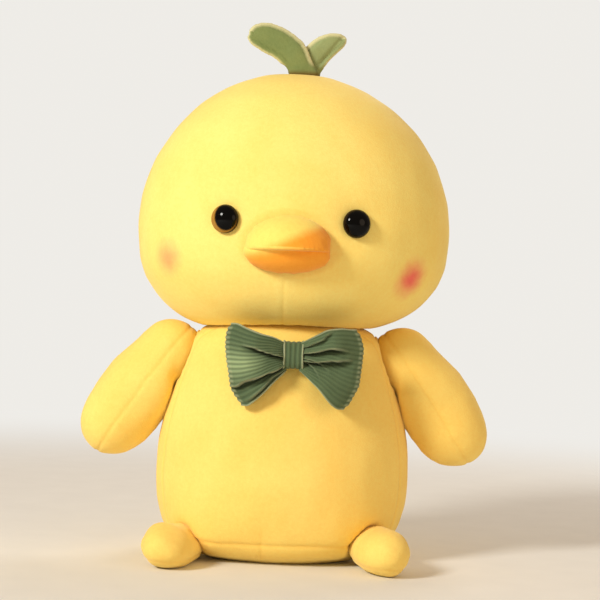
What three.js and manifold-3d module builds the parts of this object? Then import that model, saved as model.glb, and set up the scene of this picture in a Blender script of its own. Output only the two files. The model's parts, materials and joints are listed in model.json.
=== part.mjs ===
// Plush chicken, a stuffed toy that sits on a flat base.
// Cloth covers over fillings, hard eyes on washers, a two-part beak, a sprout of two leaves,
// sausage arms, short feet and a corduroy bow. Sewn rings join the head and arms to the body.
// Millimetres, +Z up. The toy faces -Y, its own left is +X, the origin is the middle of its base.

import * as THREE from 'three';
import { mergeVertices } from 'three/addons/utils/BufferGeometryUtils.js';
import Module from 'manifold-3d';

const wasm = await Module();
wasm.setup();

// Cloth and fit
const cloth = 2.2; // cover, backing and pile together
const fit = 0.3; // space between pieces that touch
const seamSplit = 0.3; // space between two panels along their seam
const seamRingThickness = 1.8; // turned-in cloth at a sewn joint

// Body
const bodyHalfWidth = 90;
const bodyHalfDepth = 78;
const bellyHeight = 62;
const baseHalfWidth = 52;
const baseHalfDepth = 47;
const baseRoundness = 2.4; // exponent of the curve from the base up to the belly
const shoulderHeight = 140;
const shoulderHalfWidth = 74;
const shoulderHalfDepth = 67;
const shoulderCurve = 1.6; // exponent of the taper from the belly up to the shoulder
const baseSeamHeight = 15;
const sideSeamForward = 30;
const neckEdgeRadius = 52; // where the round shoulders meet the neck dome
const shoulderRoundness = 3.2; // exponent of the curve from the side over the shoulder

// Neck
const neckPivotHeight = 80;
const neckDomeRadius = 97.6;
const neckRingInnerRadius = 38;
const neckRingOuterRadius = 50;
const neckPress = 18.4; // how deep the neck dome sinks into the head

// Head
const headHalfWidth = 111;
const headHalfDepth = 96;
const headRise = 111; // centre to crown
const headDrop = 69; // centre to underside
const headLowerRoundness = 2.85; // exponent of the flattened lower half

// Eyes
const eyeSpread = 43.5;
const eyeAboveCentre = 2;
const eyeRadius = 9.5;
const eyeDomeHeight = 6.5;
const eyeRimHeight = 1;
const eyePostRadius = 2.5;
const eyePostLength = 13;
const eyeRibCount = 3;
const eyeRibHeight = 0.4;
const eyeRibLength = 0.8; // share of the pitch that a rib's slope takes
const washerRadius = 8;
const washerThickness = 1.6;

// Beak
const beakHalfWidth = 31;
const beakMouthBelowCentre = 16;
const upperBillRise = 22.5;
const upperBillLength = 27;
const lowerBillDrop = 17;
const lowerBillLength = 20;
const billCloth = 1.8;
const beakRootDepth = 4.5; // the bills start this far behind the front of the face
const mouthSplit = 0.4;

// Leaves
const leafRootRadius = 3.3;
const leafStandOff = 0.6; // root line above the crown
const leafHalfThickness = 3.2;
const leafSpacing = 7.6; // front leaf to back leaf, along Y
const frontLeafRootX = 4.3;
const backLeafRootX = 7.3;
// Pairs of places on a leaf's two edges, [x, z] from the middle of its root, from the root to the tip
const frontLeafEdges = [
  [[-10.4, 0], [10.4, 0]],
  [[-12.4, 4], [7.8, 5.5]],
  [[-15.7, 8.4], [4.4, 12.6]],
  [[-20.6, 12.2], [0.9, 20.6]],
  [[-26.4, 14.8], [-7.4, 27.8]],
  [[-32, 17.8], [-17.6, 33.2]],
  [[-36.8, 21], [-27.4, 35.4]],
  [[-39.6, 24.2], [-35.6, 33.8]],
  [[-40.6, 27.4], [-40, 30.4]],
];
const backLeafEdges = [
  [[-8.4, 0], [8.4, 0]],
  [[-8, 5.5], [10.7, 4.7]],
  [[-6.6, 11.5], [14.2, 9.6]],
  [[-3.9, 17.8], [17.8, 14]],
  [[0.7, 23.2], [21.4, 17.6]],
  [[6.6, 27.8], [24.8, 20.6]],
  [[13.6, 30.2], [26.8, 23.6]],
  [[20.4, 30.6], [27.4, 26.8]],
  [[25.4, 29.8], [26.4, 28.8]],
];

// Arms
const armSeatRadius = 23.5;
const armSeatStandOff = 9; // seat centre outside the side of the body
const armSeatHeight = 140.7;
const armTipOut = 38;
const armTipDrop = 50;
const armTipRadius = 26.4;
const armBow = 0.5;
const armCloth = 2;
const armRingInner = 0.5; // half angles of the sewn ring, seen from the seat centre
const armRingOuter = 0.8;

// Feet
const footSeatRadius = 16;
const footSeatOut = 62.5;
const footSeatStandOff = 2.4;
const footHalfHeight = 16;
const footHalfWidth = 18.8;
const footTipLength = 25;
const footReachOut = 9;
const footReachForward = 30;
const soleFlat = 0.5; // cut off the round underside so that the sole lies flat
const soleSeamHeight = 8;
const footCloth = 1.8;
const toeLift = THREE.MathUtils.degToRad(15);

// Bow
const bowCentreX = 5;
const bowHeight = 144;
const bowHalfSpan = 46.5;
const bowEndHalfHeight = 26;
const bowWaistHalfHeight = 7.2;
const bowWaistHalfThickness = 3;
const bowFrontBulge = 10;
const bowBackBulge = 4.8;
const bowEndFold = 4.2; // half thickness of the folded outer end
const bowWall = 1.5;
const bowDroop = 6.5;
const bowDroopCurve = 1.4; // exponent of the droop along the wing
const bowOpenAt = 0.8; // share of the wing's length where it reaches its full height
const bowCornerAt = 0.85; // share of the wing's length where its corners begin to round
const bowCornerDrop = 0.5; // how much the corners round
const bowPleat = 1.6;
const knotHalfWidth = 6.75;
const knotWall = 2;
const knotHalfThickness = 6.4;
const knotCornerRadius = 4;

// Facets
const roundSegments = 28;
const fillingSegments = 16;
const seatSegments = 18;
const limbSegments = 14;
const leafSegments = 12;
const eyeSegments = 12;
const washerSegments = 14;
const coverSteps = 8;
const fillingSteps = 6;
const headSteps = 14;
const headFillingSteps = 10;
const levelCrowding = 1.35; // exponent that gathers the body's rings towards the base
const shoulderLevels = [0.45, 0.78, 0.95]; // shares of the way from the shoulder to the neck's edge
const seatFacetAllowance = 0.3; // radius that the flats of a faceted seat take up
const farOut = 400;

const up = new THREE.Vector3(0, 1, 0);
const skyward = new THREE.Vector3(0, 0, 1);

const plushYellow = new THREE.MeshStandardMaterial({ color: 0xf7dc72, roughness: 0.95, metalness: 0 });
const plushOrange = new THREE.MeshStandardMaterial({ color: 0xffa83a, roughness: 0.95, metalness: 0 });
const leafGreen = new THREE.MeshStandardMaterial({ color: 0x8c955c, roughness: 0.95, metalness: 0 });
const corduroyGreen = new THREE.MeshStandardMaterial({ color: 0x707a52, roughness: 0.9, metalness: 0 });
const eyeBlack = new THREE.MeshStandardMaterial({ color: 0x0a0605, roughness: 0.08, metalness: 0 });
const washerWhite = new THREE.MeshStandardMaterial({ color: 0xe9e7e0, roughness: 0.5, metalness: 0 });
const fillingWhite = new THREE.MeshStandardMaterial({ color: 0xf5f3ee, roughness: 1, metalness: 0 });

// Closed solids from three.js geometry
function solidFrom(geometry) {
  const bare = new THREE.BufferGeometry();
  bare.setAttribute('position', geometry.getAttribute('position'));
  bare.setIndex(geometry.getIndex());
  const merged = mergeVertices(bare, 1e-4);
  const points = merged.getAttribute('position').array;
  const corners = merged.getIndex().array;
  const faces = [];
  for (let i = 0; i < corners.length; i += 3) {
    const [a, b, c] = corners.slice(i, i + 3);
    if (a !== b && b !== c && c !== a) faces.push(a, b, c);
  }
  if (signedVolume(points, faces) < 0) faces.reverse();
  return new wasm.Manifold(new wasm.Mesh({
    numProp: 3,
    vertProperties: new Float32Array(points),
    triVerts: new Uint32Array(faces),
  }));
}

function signedVolume(points, faces) {
  const corner = (index) => new THREE.Vector3().fromArray(points, index * 3);
  let total = 0;
  for (let i = 0; i < faces.length; i += 3) {
    total += corner(faces[i]).dot(corner(faces[i + 1]).cross(corner(faces[i + 2]))) / 6;
  }
  return total;
}

// A grid of points closed round each row, as triangles
function gridFaces(rows, columns, start = 0) {
  const faces = [];
  for (let row = 0; row < rows - 1; row++) {
    for (let column = 0; column < columns; column++) {
      const next = (column + 1) % columns;
      const a = start + row * columns + column;
      const b = start + row * columns + next;
      faces.push(a, b, b + columns, a, b + columns, a + columns);
    }
  }
  return faces;
}

function geometryFrom(points, faces) {
  const geometry = new THREE.BufferGeometry().setFromPoints(points);
  geometry.setIndex(faces);
  return geometry;
}

// A skin through a stack of equal rings, closed by a fan over each end
function skin(rings, lowEnd, highEnd) {
  const columns = rings[0].length;
  const points = rings.flat();
  const faces = gridFaces(rings.length, columns);
  const lowIndex = points.push(lowEnd) - 1;
  const highIndex = points.push(highEnd) - 1;
  const lastRow = (rings.length - 1) * columns;
  for (let column = 0; column < columns; column++) {
    const next = (column + 1) % columns;
    faces.push(lowIndex, next, column, highIndex, lastRow + column, lastRow + next);
  }
  return solidFrom(geometryFrom(points, faces));
}

function ellipseRing(centre, alongA, alongB, segments) {
  return Array.from({ length: segments }, (_, index) => {
    const angle = (2 * Math.PI * index) / segments;
    return centre.clone().addScaledVector(alongA, Math.cos(angle)).addScaledVector(alongB, Math.sin(angle));
  });
}

function levelRing(halfWidth, halfDepth, height, segments) {
  const centre = new THREE.Vector3(0, 0, height);
  const alongX = new THREE.Vector3(halfWidth, 0, 0);
  const alongY = new THREE.Vector3(0, halfDepth, 0);
  return ellipseRing(centre, alongX, alongY, segments);
}

// Turned solids, with their axis along a direction from a point
function placeAlong(geometry, origin, direction) {
  geometry.applyQuaternion(new THREE.Quaternion().setFromUnitVectors(up, direction));
  geometry.translate(origin.x, origin.y, origin.z);
  return geometry;
}

function turned(profile, origin, direction, segments) {
  const points = profile.map(([radius, along]) => new THREE.Vector2(radius, along));
  return solidFrom(placeAlong(new THREE.LatheGeometry(points, segments), origin, direction));
}

function rod(origin, direction, radius, low, high, segments = 16) {
  return turned([[0, low], [radius, low], [radius, high], [0, high]], origin, direction, segments);
}

function ball(centre, radius, segments) {
  const geometry = new THREE.SphereGeometry(radius, segments, segments / 2);
  return solidFrom(geometry.translate(centre.x, centre.y, centre.z));
}

// A faceted ball whose flats still clear a true ball of this radius
function clearingBall(centre, radius, segments) {
  return ball(centre, radius / Math.cos(Math.PI / segments) ** 2, segments);
}

// A lying capsule along X, round a line of this length
function capsule(centre, radius, length, segments) {
  const geometry = new THREE.CapsuleGeometry(radius, length, segments / 4, segments);
  return solidFrom(geometry.rotateZ(Math.PI / 2).translate(centre.x, centre.y, centre.z));
}

function arc(radius, fromAngle, toAngle, steps) {
  return Array.from({ length: steps + 1 }, (_, index) => {
    const angle = fromAngle + ((toAngle - fromAngle) * index) / steps;
    return [radius * Math.sin(angle), radius * Math.cos(angle)];
  });
}

function sphereBand(centre, direction, radius, thickness, fromAngle, toAngle, segments) {
  const outside = arc(radius + thickness, fromAngle, toAngle, 2);
  const inside = arc(radius, toAngle, fromAngle, 2);
  return turned([...outside, ...inside, outside[0]], centre, direction, segments);
}

function sphereCap(centre, direction, radius, spread, segments) {
  const crown = arc(radius, 0, spread, 8);
  const foot = [0, radius * Math.cos(spread)];
  return turned([...crown, foot], centre, direction, segments);
}

function block(low, high) {
  const size = new THREE.Vector3().subVectors(high, low);
  const middle = new THREE.Vector3().addVectors(low, high).multiplyScalar(0.5);
  return solidFrom(new THREE.BoxGeometry(size.x, size.y, size.z).translate(middle.x, middle.y, middle.z));
}

const infinite = (value) => new THREE.Vector3(value, value, value);
const behind = (y) => block(infinite(-farOut).setY(y), infinite(farOut));
const inFrontOf = (y) => block(infinite(-farOut), infinite(farOut).setY(y));
const above = (z) => block(infinite(-farOut).setZ(z), infinite(farOut));
const below = (z) => block(infinite(-farOut), infinite(farOut).setZ(z));

function cut(solid, ...cutters) {
  return cutters.reduce((rest, cutter) => rest.subtract(cutter), solid);
}

function addPiece(group, name, solid, material) {
  const { vertProperties, triVerts } = solid.getMesh();
  const geometry = new THREE.BufferGeometry();
  geometry.setAttribute('position', new THREE.BufferAttribute(new Float32Array(vertProperties), 3));
  geometry.setIndex(new THREE.BufferAttribute(new Uint32Array(triVerts), 1));
  geometry.translate(-group.position.x, -group.position.y, -group.position.z);
  geometry.computeVertexNormals();
  const mesh = new THREE.Mesh(geometry, material);
  mesh.name = name;
  group.add(mesh);
}

function groupAt(pivot) {
  const group = new THREE.Group();
  group.position.copy(pivot);
  return group;
}

// Body profile: a rounded base, a full belly, a taper to the shoulders and a round neck dome
const neckPivot = new THREE.Vector3(0, 0, neckPivotHeight);
const neckDomeTop = neckPivotHeight + neckDomeRadius;
const neckEdgeAngle = Math.asin(neckEdgeRadius / neckDomeRadius);
const neckEdgeHeight = neckPivotHeight + neckDomeRadius * Math.cos(neckEdgeAngle);

function bodyHalfAt(height, atBase, atBelly, atShoulder) {
  if (height < bellyHeight) {
    const lowness = (bellyHeight - Math.max(height, 0)) / bellyHeight;
    return atBase + (atBelly - atBase) * (1 - lowness ** baseRoundness) ** (1 / baseRoundness);
  }
  const rise = (height - bellyHeight) / (shoulderHeight - bellyHeight);
  return atBelly - (atBelly - atShoulder) * rise ** shoulderCurve;
}

// The shoulders stand out squarely beside the neck, only along the width
function overShoulder(height, half, inset) {
  const share = (height - shoulderHeight) / (neckEdgeHeight - inset - shoulderHeight);
  if (share < 0) return half;
  if (share > 1) return 0;
  const squareness = (1 - share ** shoulderRoundness) ** (1 / shoulderRoundness);
  return THREE.MathUtils.lerp(neckEdgeRadius, half, squareness);
}

function bodySizeAt(height, inset) {
  const lowness = THREE.MathUtils.clamp(1 - height / bellyHeight, 0, 1);
  const source = height - inset * lowness;
  const sideInset = inset * Math.sqrt(1 - lowness);
  const domeRadius = neckDomeRadius - inset;
  const aboveNeckPivot = Math.max(0, height - neckPivotHeight);
  const dome = Math.sqrt(Math.max(0, domeRadius ** 2 - aboveNeckPivot ** 2));
  const halfWidth = bodyHalfAt(source, baseHalfWidth, bodyHalfWidth, shoulderHalfWidth) - sideInset;
  const halfDepth = bodyHalfAt(source, baseHalfDepth, bodyHalfDepth, shoulderHalfDepth) - sideInset;
  const shoulder = overShoulder(height, halfWidth, inset);
  return { halfWidth: Math.min(halfWidth, Math.max(dome, shoulder)), halfDepth: Math.min(halfDepth, dome) };
}

function bodyLevels(inset, steps) {
  const levels = [];
  for (let step = 0; step <= steps; step++) {
    const share = (step / steps) ** levelCrowding;
    levels.push(inset + (shoulderHeight - inset) * share);
  }
  for (const share of shoulderLevels) {
    levels.push(THREE.MathUtils.lerp(shoulderHeight, neckEdgeHeight - inset, share));
  }
  const domeSteps = steps / 2;
  for (let step = 0; step < domeSteps; step++) {
    const angle = neckEdgeAngle * (1 - step / domeSteps);
    levels.push(neckPivotHeight + (neckDomeRadius - inset) * Math.cos(angle));
  }
  return levels;
}

function bodySolid(inset, segments, steps) {
  const rings = bodyLevels(inset, steps).map((height) => {
    const { halfWidth, halfDepth } = bodySizeAt(height, inset);
    return levelRing(halfWidth, halfDepth, height, segments);
  });
  const low = new THREE.Vector3(0, 0, inset);
  const high = new THREE.Vector3(0, 0, neckDomeTop - inset);
  return skin(rings, low, high);
}

function bodyFrontAt(x, height) {
  const { halfWidth, halfDepth } = bodySizeAt(height, 0);
  return -halfDepth * Math.sqrt(1 - (x / halfWidth) ** 2);
}

// Shoulder and foot seats
const sides = [['left', 1], ['right', -1]];
const armSeatOut = bodySizeAt(armSeatHeight, 0).halfWidth + armSeatStandOff;
const armSeat = (side) => new THREE.Vector3(side * armSeatOut, 0, armSeatHeight);
const armRingRadius = armSeatRadius + fit + seatFacetAllowance;
const armDimpleRadius = armRingRadius + seamRingThickness + fit;
const footSeatHeight = footHalfHeight - soleFlat;
const footSeatForward = bodyFrontAt(footSeatOut, footSeatHeight) - footSeatStandOff;
const footSeat = (side) => new THREE.Vector3(side * footSeatOut, footSeatForward, footSeatHeight);
const armDimples = sides.map(([, side]) => clearingBall(armSeat(side), armDimpleRadius, seatSegments));
const footDimpleRadius = footSeatRadius + fit;
const footDimples = sides.map(([, side]) => clearingBall(footSeat(side), footDimpleRadius, seatSegments));

// Body cover, base and filling
const bodyGroup = groupAt(new THREE.Vector3());
const neckOpeningRadius = neckRingInnerRadius - fit;
const neckPlugRadius = neckRingInnerRadius - 4 * fit;

function buildBody() {
  const outside = bodySolid(0, roundSegments, coverSteps);
  const cavity = bodySolid(cloth, fillingSegments, fillingSteps);
  const neckHole = rod(neckPivot, skyward, neckOpeningRadius, 0, farOut, fillingSegments);
  const cover = cut(outside, cavity, ...armDimples, ...footDimples);
  const wall = cut(cover.intersect(above(baseSeamHeight + seamSplit / 2)), neckHole);
  const front = wall.intersect(inFrontOf(-sideSeamForward - seamSplit / 2));
  const back = wall.intersect(behind(-sideSeamForward + seamSplit / 2));
  const base = cover.intersect(below(baseSeamHeight - seamSplit / 2));
  addPiece(bodyGroup, 'body_front_panel', front, plushYellow);
  addPiece(bodyGroup, 'body_back_panel', back, plushYellow);
  addPiece(bodyGroup, 'base_panel', base, plushYellow);
  const plugDomeRadius = neckDomeRadius + seamRingThickness;
  const plugDome = sphereCap(neckPivot, skyward, plugDomeRadius, plugSpread, fillingSegments);
  const plug = plugDome.intersect(rod(neckPivot, skyward, neckPlugRadius, 0, farOut, fillingSegments));
  const filling = bodySolid(cloth + fit, fillingSegments, fillingSteps).add(plug);
  addPiece(bodyGroup, 'body_filling', cut(filling, ...armDimples, ...footDimples), fillingWhite);
}

// Neck: the sewn ring lies on the dome of the body, and the head's socket lies on the ring
const neckGroup = groupAt(neckPivot);
const neckSocketRadius = neckDomeRadius + 2 * fit + seamRingThickness;
const socketSpread = 0.75; // half angle of the socket cutter, wider than the underside it cuts
const plugSpread = 0.6; // half angle of the dome on the filling's plug, wider than the plug

function buildNeck() {
  const radius = neckDomeRadius + fit;
  const fromAngle = Math.asin(neckRingInnerRadius / radius);
  const toAngle = Math.asin(neckRingOuterRadius / radius);
  const ring = sphereBand(neckPivot, skyward, radius, seamRingThickness, fromAngle, toAngle, roundSegments);
  addPiece(neckGroup, 'neck_seam', ring, plushYellow);
}

// Head profile: an upper half ellipsoid over a flattened lower half
const headCentreHeight = neckPivotHeight + neckSocketRadius - neckPress + headDrop;
const headCrownHeight = headCentreHeight + headRise;

function headSpreadAt(height) {
  const offset = height - headCentreHeight;
  if (offset > 0) return Math.sqrt(1 - (offset / headRise) ** 2);
  return (1 - (-offset / headDrop) ** headLowerRoundness) ** (1 / headLowerRoundness);
}

function headFrontAt(x, height) {
  const spread = headSpreadAt(height);
  return -headHalfDepth * spread * Math.sqrt(1 - (x / (headHalfWidth * spread)) ** 2);
}

function headCrownAt(x) {
  return headCentreHeight + headRise * Math.sqrt(1 - (x / headHalfWidth) ** 2);
}

function headSolid(inset, segments, steps) {
  const halfWidth = headHalfWidth - inset;
  const halfDepth = headHalfDepth - inset;
  const rings = [];
  for (let step = 1; step < steps; step++) {
    const angle = Math.PI * (step / steps - 0.5);
    const power = angle > 0 ? 1 : 2 / headLowerRoundness;
    const reach = angle > 0 ? headRise - inset : headDrop - inset;
    const spread = Math.cos(angle) ** power;
    const height = headCentreHeight + Math.sign(angle) * reach * Math.abs(Math.sin(angle)) ** power;
    rings.push(levelRing(halfWidth * spread, halfDepth * spread, height, segments));
  }
  const low = new THREE.Vector3(0, 0, headCentreHeight - headDrop + inset);
  const high = new THREE.Vector3(0, 0, headCrownHeight - inset);
  return skin(rings, low, high);
}

// Eye places on the face, each with the direction that it faces
function eyeSeat(side) {
  const height = headCentreHeight + eyeAboveCentre;
  const point = new THREE.Vector3(side * eyeSpread, headFrontAt(eyeSpread, height), height);
  const facing = new THREE.Vector3(point.x / headHalfWidth ** 2, point.y / headHalfDepth ** 2, 0);
  return { point, facing: facing.normalize() };
}

// Leaf roots along the crown
const frontLeafRoot = new THREE.Vector3(
  frontLeafRootX, -leafSpacing / 2, headCrownAt(frontLeafRootX) + leafStandOff);
const backLeafRoot = new THREE.Vector3(
  backLeafRootX, leafSpacing / 2, headCrownAt(backLeafRootX) + leafStandOff);
const leafRootLength = (edges) => edges[0][1][0] - edges[0][0][0] - 2 * leafRootRadius;
const leafGroove = (root, edges) => capsule(
  root, (leafRootRadius + fit) / Math.cos(Math.PI / leafSegments) ** 2, leafRootLength(edges), leafSegments);
const leafGrooves = [leafGroove(frontLeafRoot, frontLeafEdges), leafGroove(backLeafRoot, backLeafEdges)];

// Head cover and filling
const headGroup = groupAt(neckPivot);
const headOutside = headSolid(0, roundSegments, headSteps);
const headSocketRadius = neckSocketRadius + seatFacetAllowance;
const headSocket = sphereCap(neckPivot, skyward, headSocketRadius, socketSpread, roundSegments);
const washerDepth = cloth + fit + washerRadius ** 2 / (2 * headHalfDepth);
const eyeHoleRadius = eyePostRadius + eyeRibHeight + fit;

function buildHead() {
  const eyes = sides.map(([, side]) => eyeSeat(side));
  const eyeHoles = eyes.map(({ point, facing }) => (
    rod(point, facing, eyeHoleRadius, -4 * cloth, cloth, eyeSegments)));
  const pocketDepth = eyePostLength + fit;
  const pocketsUpTo = (top) => eyes.map(({ point, facing }) => (
    rod(point, facing, washerRadius + fit, -pocketDepth, top)));
  const cavity = headSolid(cloth, fillingSegments, headFillingSteps);
  const washerRecesses = pocketsUpTo(fit - washerDepth);
  const cover = cut(headOutside, cavity, headSocket, ...eyeHoles, ...washerRecesses, ...leafGrooves);
  addPiece(headGroup, 'head_front_panel', cover.intersect(inFrontOf(-seamSplit / 2)), plushYellow);
  addPiece(headGroup, 'head_back_panel', cover.intersect(behind(seamSplit / 2)), plushYellow);
  const filling = headSolid(cloth + fit, fillingSegments, headFillingSteps);
  const hollowed = cut(filling, headSocket, ...pocketsUpTo(0), ...leafGrooves);
  addPiece(headGroup, 'head_filling', hollowed, fillingWhite);
}

function eyeProfile() {
  const profile = [[0, -eyePostLength]];
  const pitch = (eyePostLength - cloth) / eyeRibCount;
  for (let rib = 0; rib < eyeRibCount; rib++) {
    const start = -eyePostLength + rib * pitch;
    profile.push([eyePostRadius, start], [eyePostRadius + eyeRibHeight, start + pitch * eyeRibLength]);
  }
  profile.push([eyePostRadius, -cloth], [eyePostRadius, 0], [eyeRadius, 0]);
  const steps = 5;
  for (let step = 0; step <= steps; step++) {
    const angle = (Math.PI / 2) * (step / steps);
    const radius = step === steps ? 0 : eyeRadius * Math.cos(angle);
    profile.push([radius, eyeRimHeight + eyeDomeHeight * Math.sin(angle)]);
  }
  return profile;
}

function buildEye(name, side) {
  const { point, facing } = eyeSeat(side);
  const eyeOrigin = point.clone().addScaledVector(facing, fit);
  addPiece(headGroup, `${name}_eye`, turned(eyeProfile(), eyeOrigin, facing, eyeSegments), eyeBlack);
  const low = -washerDepth - washerThickness;
  const ring = [
    [eyeHoleRadius, low],
    [washerRadius, low],
    [washerRadius, -washerDepth],
    [eyeHoleRadius, -washerDepth],
    [eyeHoleRadius, low],
  ];
  addPiece(headGroup, `${name}_eye_washer`, turned(ring, point, facing, washerSegments), washerWhite);
}

// Beak: two half ellipsoids over and under the mouth, closed by cloth at the mouth and open to the face
const mouthHeight = headCentreHeight - beakMouthBelowCentre;
const beakRoot = new THREE.Vector3(0, -headHalfDepth + beakRootDepth, mouthHeight);

function billSolid(halfHeight, length, inset) {
  const geometry = new THREE.SphereGeometry(1, 18, 12);
  geometry.scale(beakHalfWidth - inset, length - inset, halfHeight - inset);
  geometry.translate(beakRoot.x, beakRoot.y, beakRoot.z);
  return solidFrom(geometry);
}

function buildBill(name, halfHeight, length, upward) {
  const headClear = headSolid(-fit, roundSegments, headSteps);
  const half = (inset) => {
    const edge = mouthHeight + upward * (mouthSplit / 2 + inset);
    return billSolid(halfHeight, length, inset).intersect(upward > 0 ? above(edge) : below(edge));
  };
  addPiece(headGroup, `${name}_bill`, cut(half(0), half(billCloth), headClear), plushOrange);
  addPiece(headGroup, `${name}_bill_filling`, half(billCloth + fit).subtract(headClear), fillingWhite);
}

// Leaf: a thin padded blade between two curved edges, on a round root that lies along the crown
function leafBlade(root, edges) {
  const curves = [0, 1].map((edge) => new THREE.CatmullRomCurve3(
    edges.map((pair) => new THREE.Vector3(pair[edge][0], 0, pair[edge][1]).add(root))));
  const middleAt = (along) => curves[0].getPoint(along).lerp(curves[1].getPoint(along), 0.5);
  const rootHalf = edges[0][1][0];
  const steps = 10;
  const rings = [];
  for (let step = 0; step < steps; step++) {
    const along = step / steps;
    const across = curves[1].getPoint(along).sub(middleAt(along));
    const breadth = Math.min(1, across.length() / rootHalf);
    const through = new THREE.Vector3(0, leafHalfThickness * Math.sqrt(breadth), 0);
    rings.push(ellipseRing(middleAt(along), across, through, leafSegments));
  }
  return skin(rings, middleAt(0), middleAt(1));
}

function buildLeaf(name, root, edges) {
  const group = groupAt(root);
  const rootRoll = capsule(root, leafRootRadius, leafRootLength(edges), leafSegments);
  addPiece(group, name, leafBlade(root, edges).add(rootRoll), leafGreen);
  return group;
}

// A limb from its seat to a rounded tip, swelling evenly on the way and bowed outward.
// Half sizes are given as [across, sideways], at the seat and where the tip begins to round.
function limbSolid({ seat, reach, sideways, seatHalf, tipHalf, tipLength, bow }, inset) {
  const direction = reach.clone().normalize();
  const outward = new THREE.Vector3().crossVectors(direction, sideways).normalize();
  const rings = [];
  const addRing = (centre, across, through) => rings.push(ellipseRing(
    centre, outward.clone().multiplyScalar(across), sideways.clone().multiplyScalar(through), limbSegments));
  const lengthSteps = 4;
  for (let step = 0; step < lengthSteps; step++) {
    const along = step / lengthSteps;
    const centre = seat.clone().addScaledVector(reach, along);
    centre.addScaledVector(outward, bow * Math.sin(Math.PI * along));
    const halfAt = (index) => THREE.MathUtils.lerp(seatHalf[index], tipHalf[index], along) - inset;
    addRing(centre, halfAt(0), halfAt(1));
  }
  const tip = seat.clone().add(reach);
  const tipSteps = 4;
  for (let step = 0; step < tipSteps; step++) {
    const angle = ((Math.PI / 2) * step) / tipSteps;
    const centre = tip.clone().addScaledVector(direction, (tipLength - inset) * Math.sin(angle));
    const [across, through] = tipHalf.map((half) => (half - inset) * Math.cos(angle));
    addRing(centre, across, through);
  }
  return skin(rings, seat, tip.clone().addScaledVector(direction, tipLength - inset));
}

// Arm: a sausage from a round shoulder seat, with its inner side shaped by the body.
// The shaping surface is turned about the shoulder, so the arm clears the body at every swing.
const armReach = (side) => new THREE.Vector3(side * armTipOut, 0, -armTipDrop);

function bodySideTurned(side, inset) {
  const seat = armSeat(side);
  const reach = armTipDrop + armTipRadius + armSeatRadius;
  const steps = 12;
  const profile = [[0, -armSeatOut], [reach, -armSeatOut]];
  for (let step = steps; step >= 0; step--) {
    const radius = (reach * step) / steps;
    const sideOfBody = bodySizeAt(armSeatHeight - radius, 0).halfWidth;
    profile.push([radius, sideOfBody + fit + inset - armSeatOut]);
  }
  return turned(profile, seat, new THREE.Vector3(side, 0, 0), roundSegments);
}

function armSolid(side, inset) {
  const sausage = limbSolid({
    seat: armSeat(side),
    reach: armReach(side),
    sideways: new THREE.Vector3(0, side, 0),
    seatHalf: [armSeatRadius, armSeatRadius],
    tipHalf: [armTipRadius, armTipRadius],
    tipLength: armTipRadius,
    bow: armBow,
  }, inset);
  const seatBall = ball(armSeat(side), armSeatRadius - inset, limbSegments);
  return sausage.subtract(bodySideTurned(side, inset)).add(seatBall);
}

// The half space on one side of an arm's seam, a plane along the arm that runs down its front
function armSeamBlock(side, outward) {
  const facing = new THREE.Vector3(side * armTipDrop, 0, armTipOut).normalize().multiplyScalar(outward);
  const halfSpace = new THREE.BoxGeometry(farOut, farOut, farOut);
  halfSpace.translate(0, farOut / 2 + seamSplit / 2, 0);
  return solidFrom(placeAlong(halfSpace, armSeat(side), facing));
}

function buildArm(name, side) {
  const seamGroup = groupAt(armSeat(side));
  const towardBody = new THREE.Vector3(-side, 0, 0);
  const ring = sphereBand(
    armSeat(side), towardBody, armRingRadius, seamRingThickness, armRingInner, armRingOuter, seatSegments);
  addPiece(seamGroup, `${name}_shoulder_seam`, ring, plushYellow);
  const armGroup = groupAt(armSeat(side));
  const cover = armSolid(side, 0).subtract(armSolid(side, armCloth));
  addPiece(armGroup, `${name}_arm_outer_panel`, cover.intersect(armSeamBlock(side, 1)), plushYellow);
  addPiece(armGroup, `${name}_arm_inner_panel`, cover.intersect(armSeamBlock(side, -1)), plushYellow);
  addPiece(armGroup, `${name}_arm_filling`, armSolid(side, armCloth + fit), fillingWhite);
  return [seamGroup, armGroup];
}

// Foot: a short toe end on a round seat, clear of the body while the toes lift
function footSolid(side, inset) {
  const seat = footSeat(side);
  const toeEnd = limbSolid({
    seat,
    reach: new THREE.Vector3(side * footReachOut, -footReachForward, 0),
    sideways: new THREE.Vector3(0, 0, side),
    seatHalf: [footSeatRadius, footSeatRadius],
    tipHalf: [footHalfWidth, footHalfHeight],
    tipLength: footTipLength,
    bow: 0,
  }, inset);
  const bodyClear = bodySolid(-fit - inset, roundSegments, coverSteps);
  const clearOfBody = cut(toeEnd, bodyClear, turnedAboutSeat(bodyClear, seat, toeLift));
  return clearOfBody.add(ball(seat, footSeatRadius - inset, limbSegments)).intersect(above(inset));
}

function turnedAboutSeat(solid, seat, angle) {
  const { vertProperties, triVerts } = solid.getMesh();
  const points = [];
  for (let i = 0; i < vertProperties.length; i += 3) {
    const point = new THREE.Vector3().fromArray(vertProperties, i).sub(seat);
    points.push(point.applyAxisAngle(new THREE.Vector3(1, 0, 0), angle).add(seat));
  }
  return solidFrom(geometryFrom(points, Array.from(triVerts)));
}

function buildFoot(name, side) {
  const group = groupAt(footSeat(side));
  const cover = footSolid(side, 0).subtract(footSolid(side, footCloth));
  addPiece(group, `${name}_foot_upper`, cover.intersect(above(soleSeamHeight + seamSplit / 2)), plushYellow);
  addPiece(group, `${name}_foot_sole`, cover.intersect(below(soleSeamHeight - seamSplit / 2)), plushYellow);
  addPiece(group, `${name}_foot_filling`, footSolid(side, footCloth + fit), fillingWhite);
  return group;
}

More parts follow.
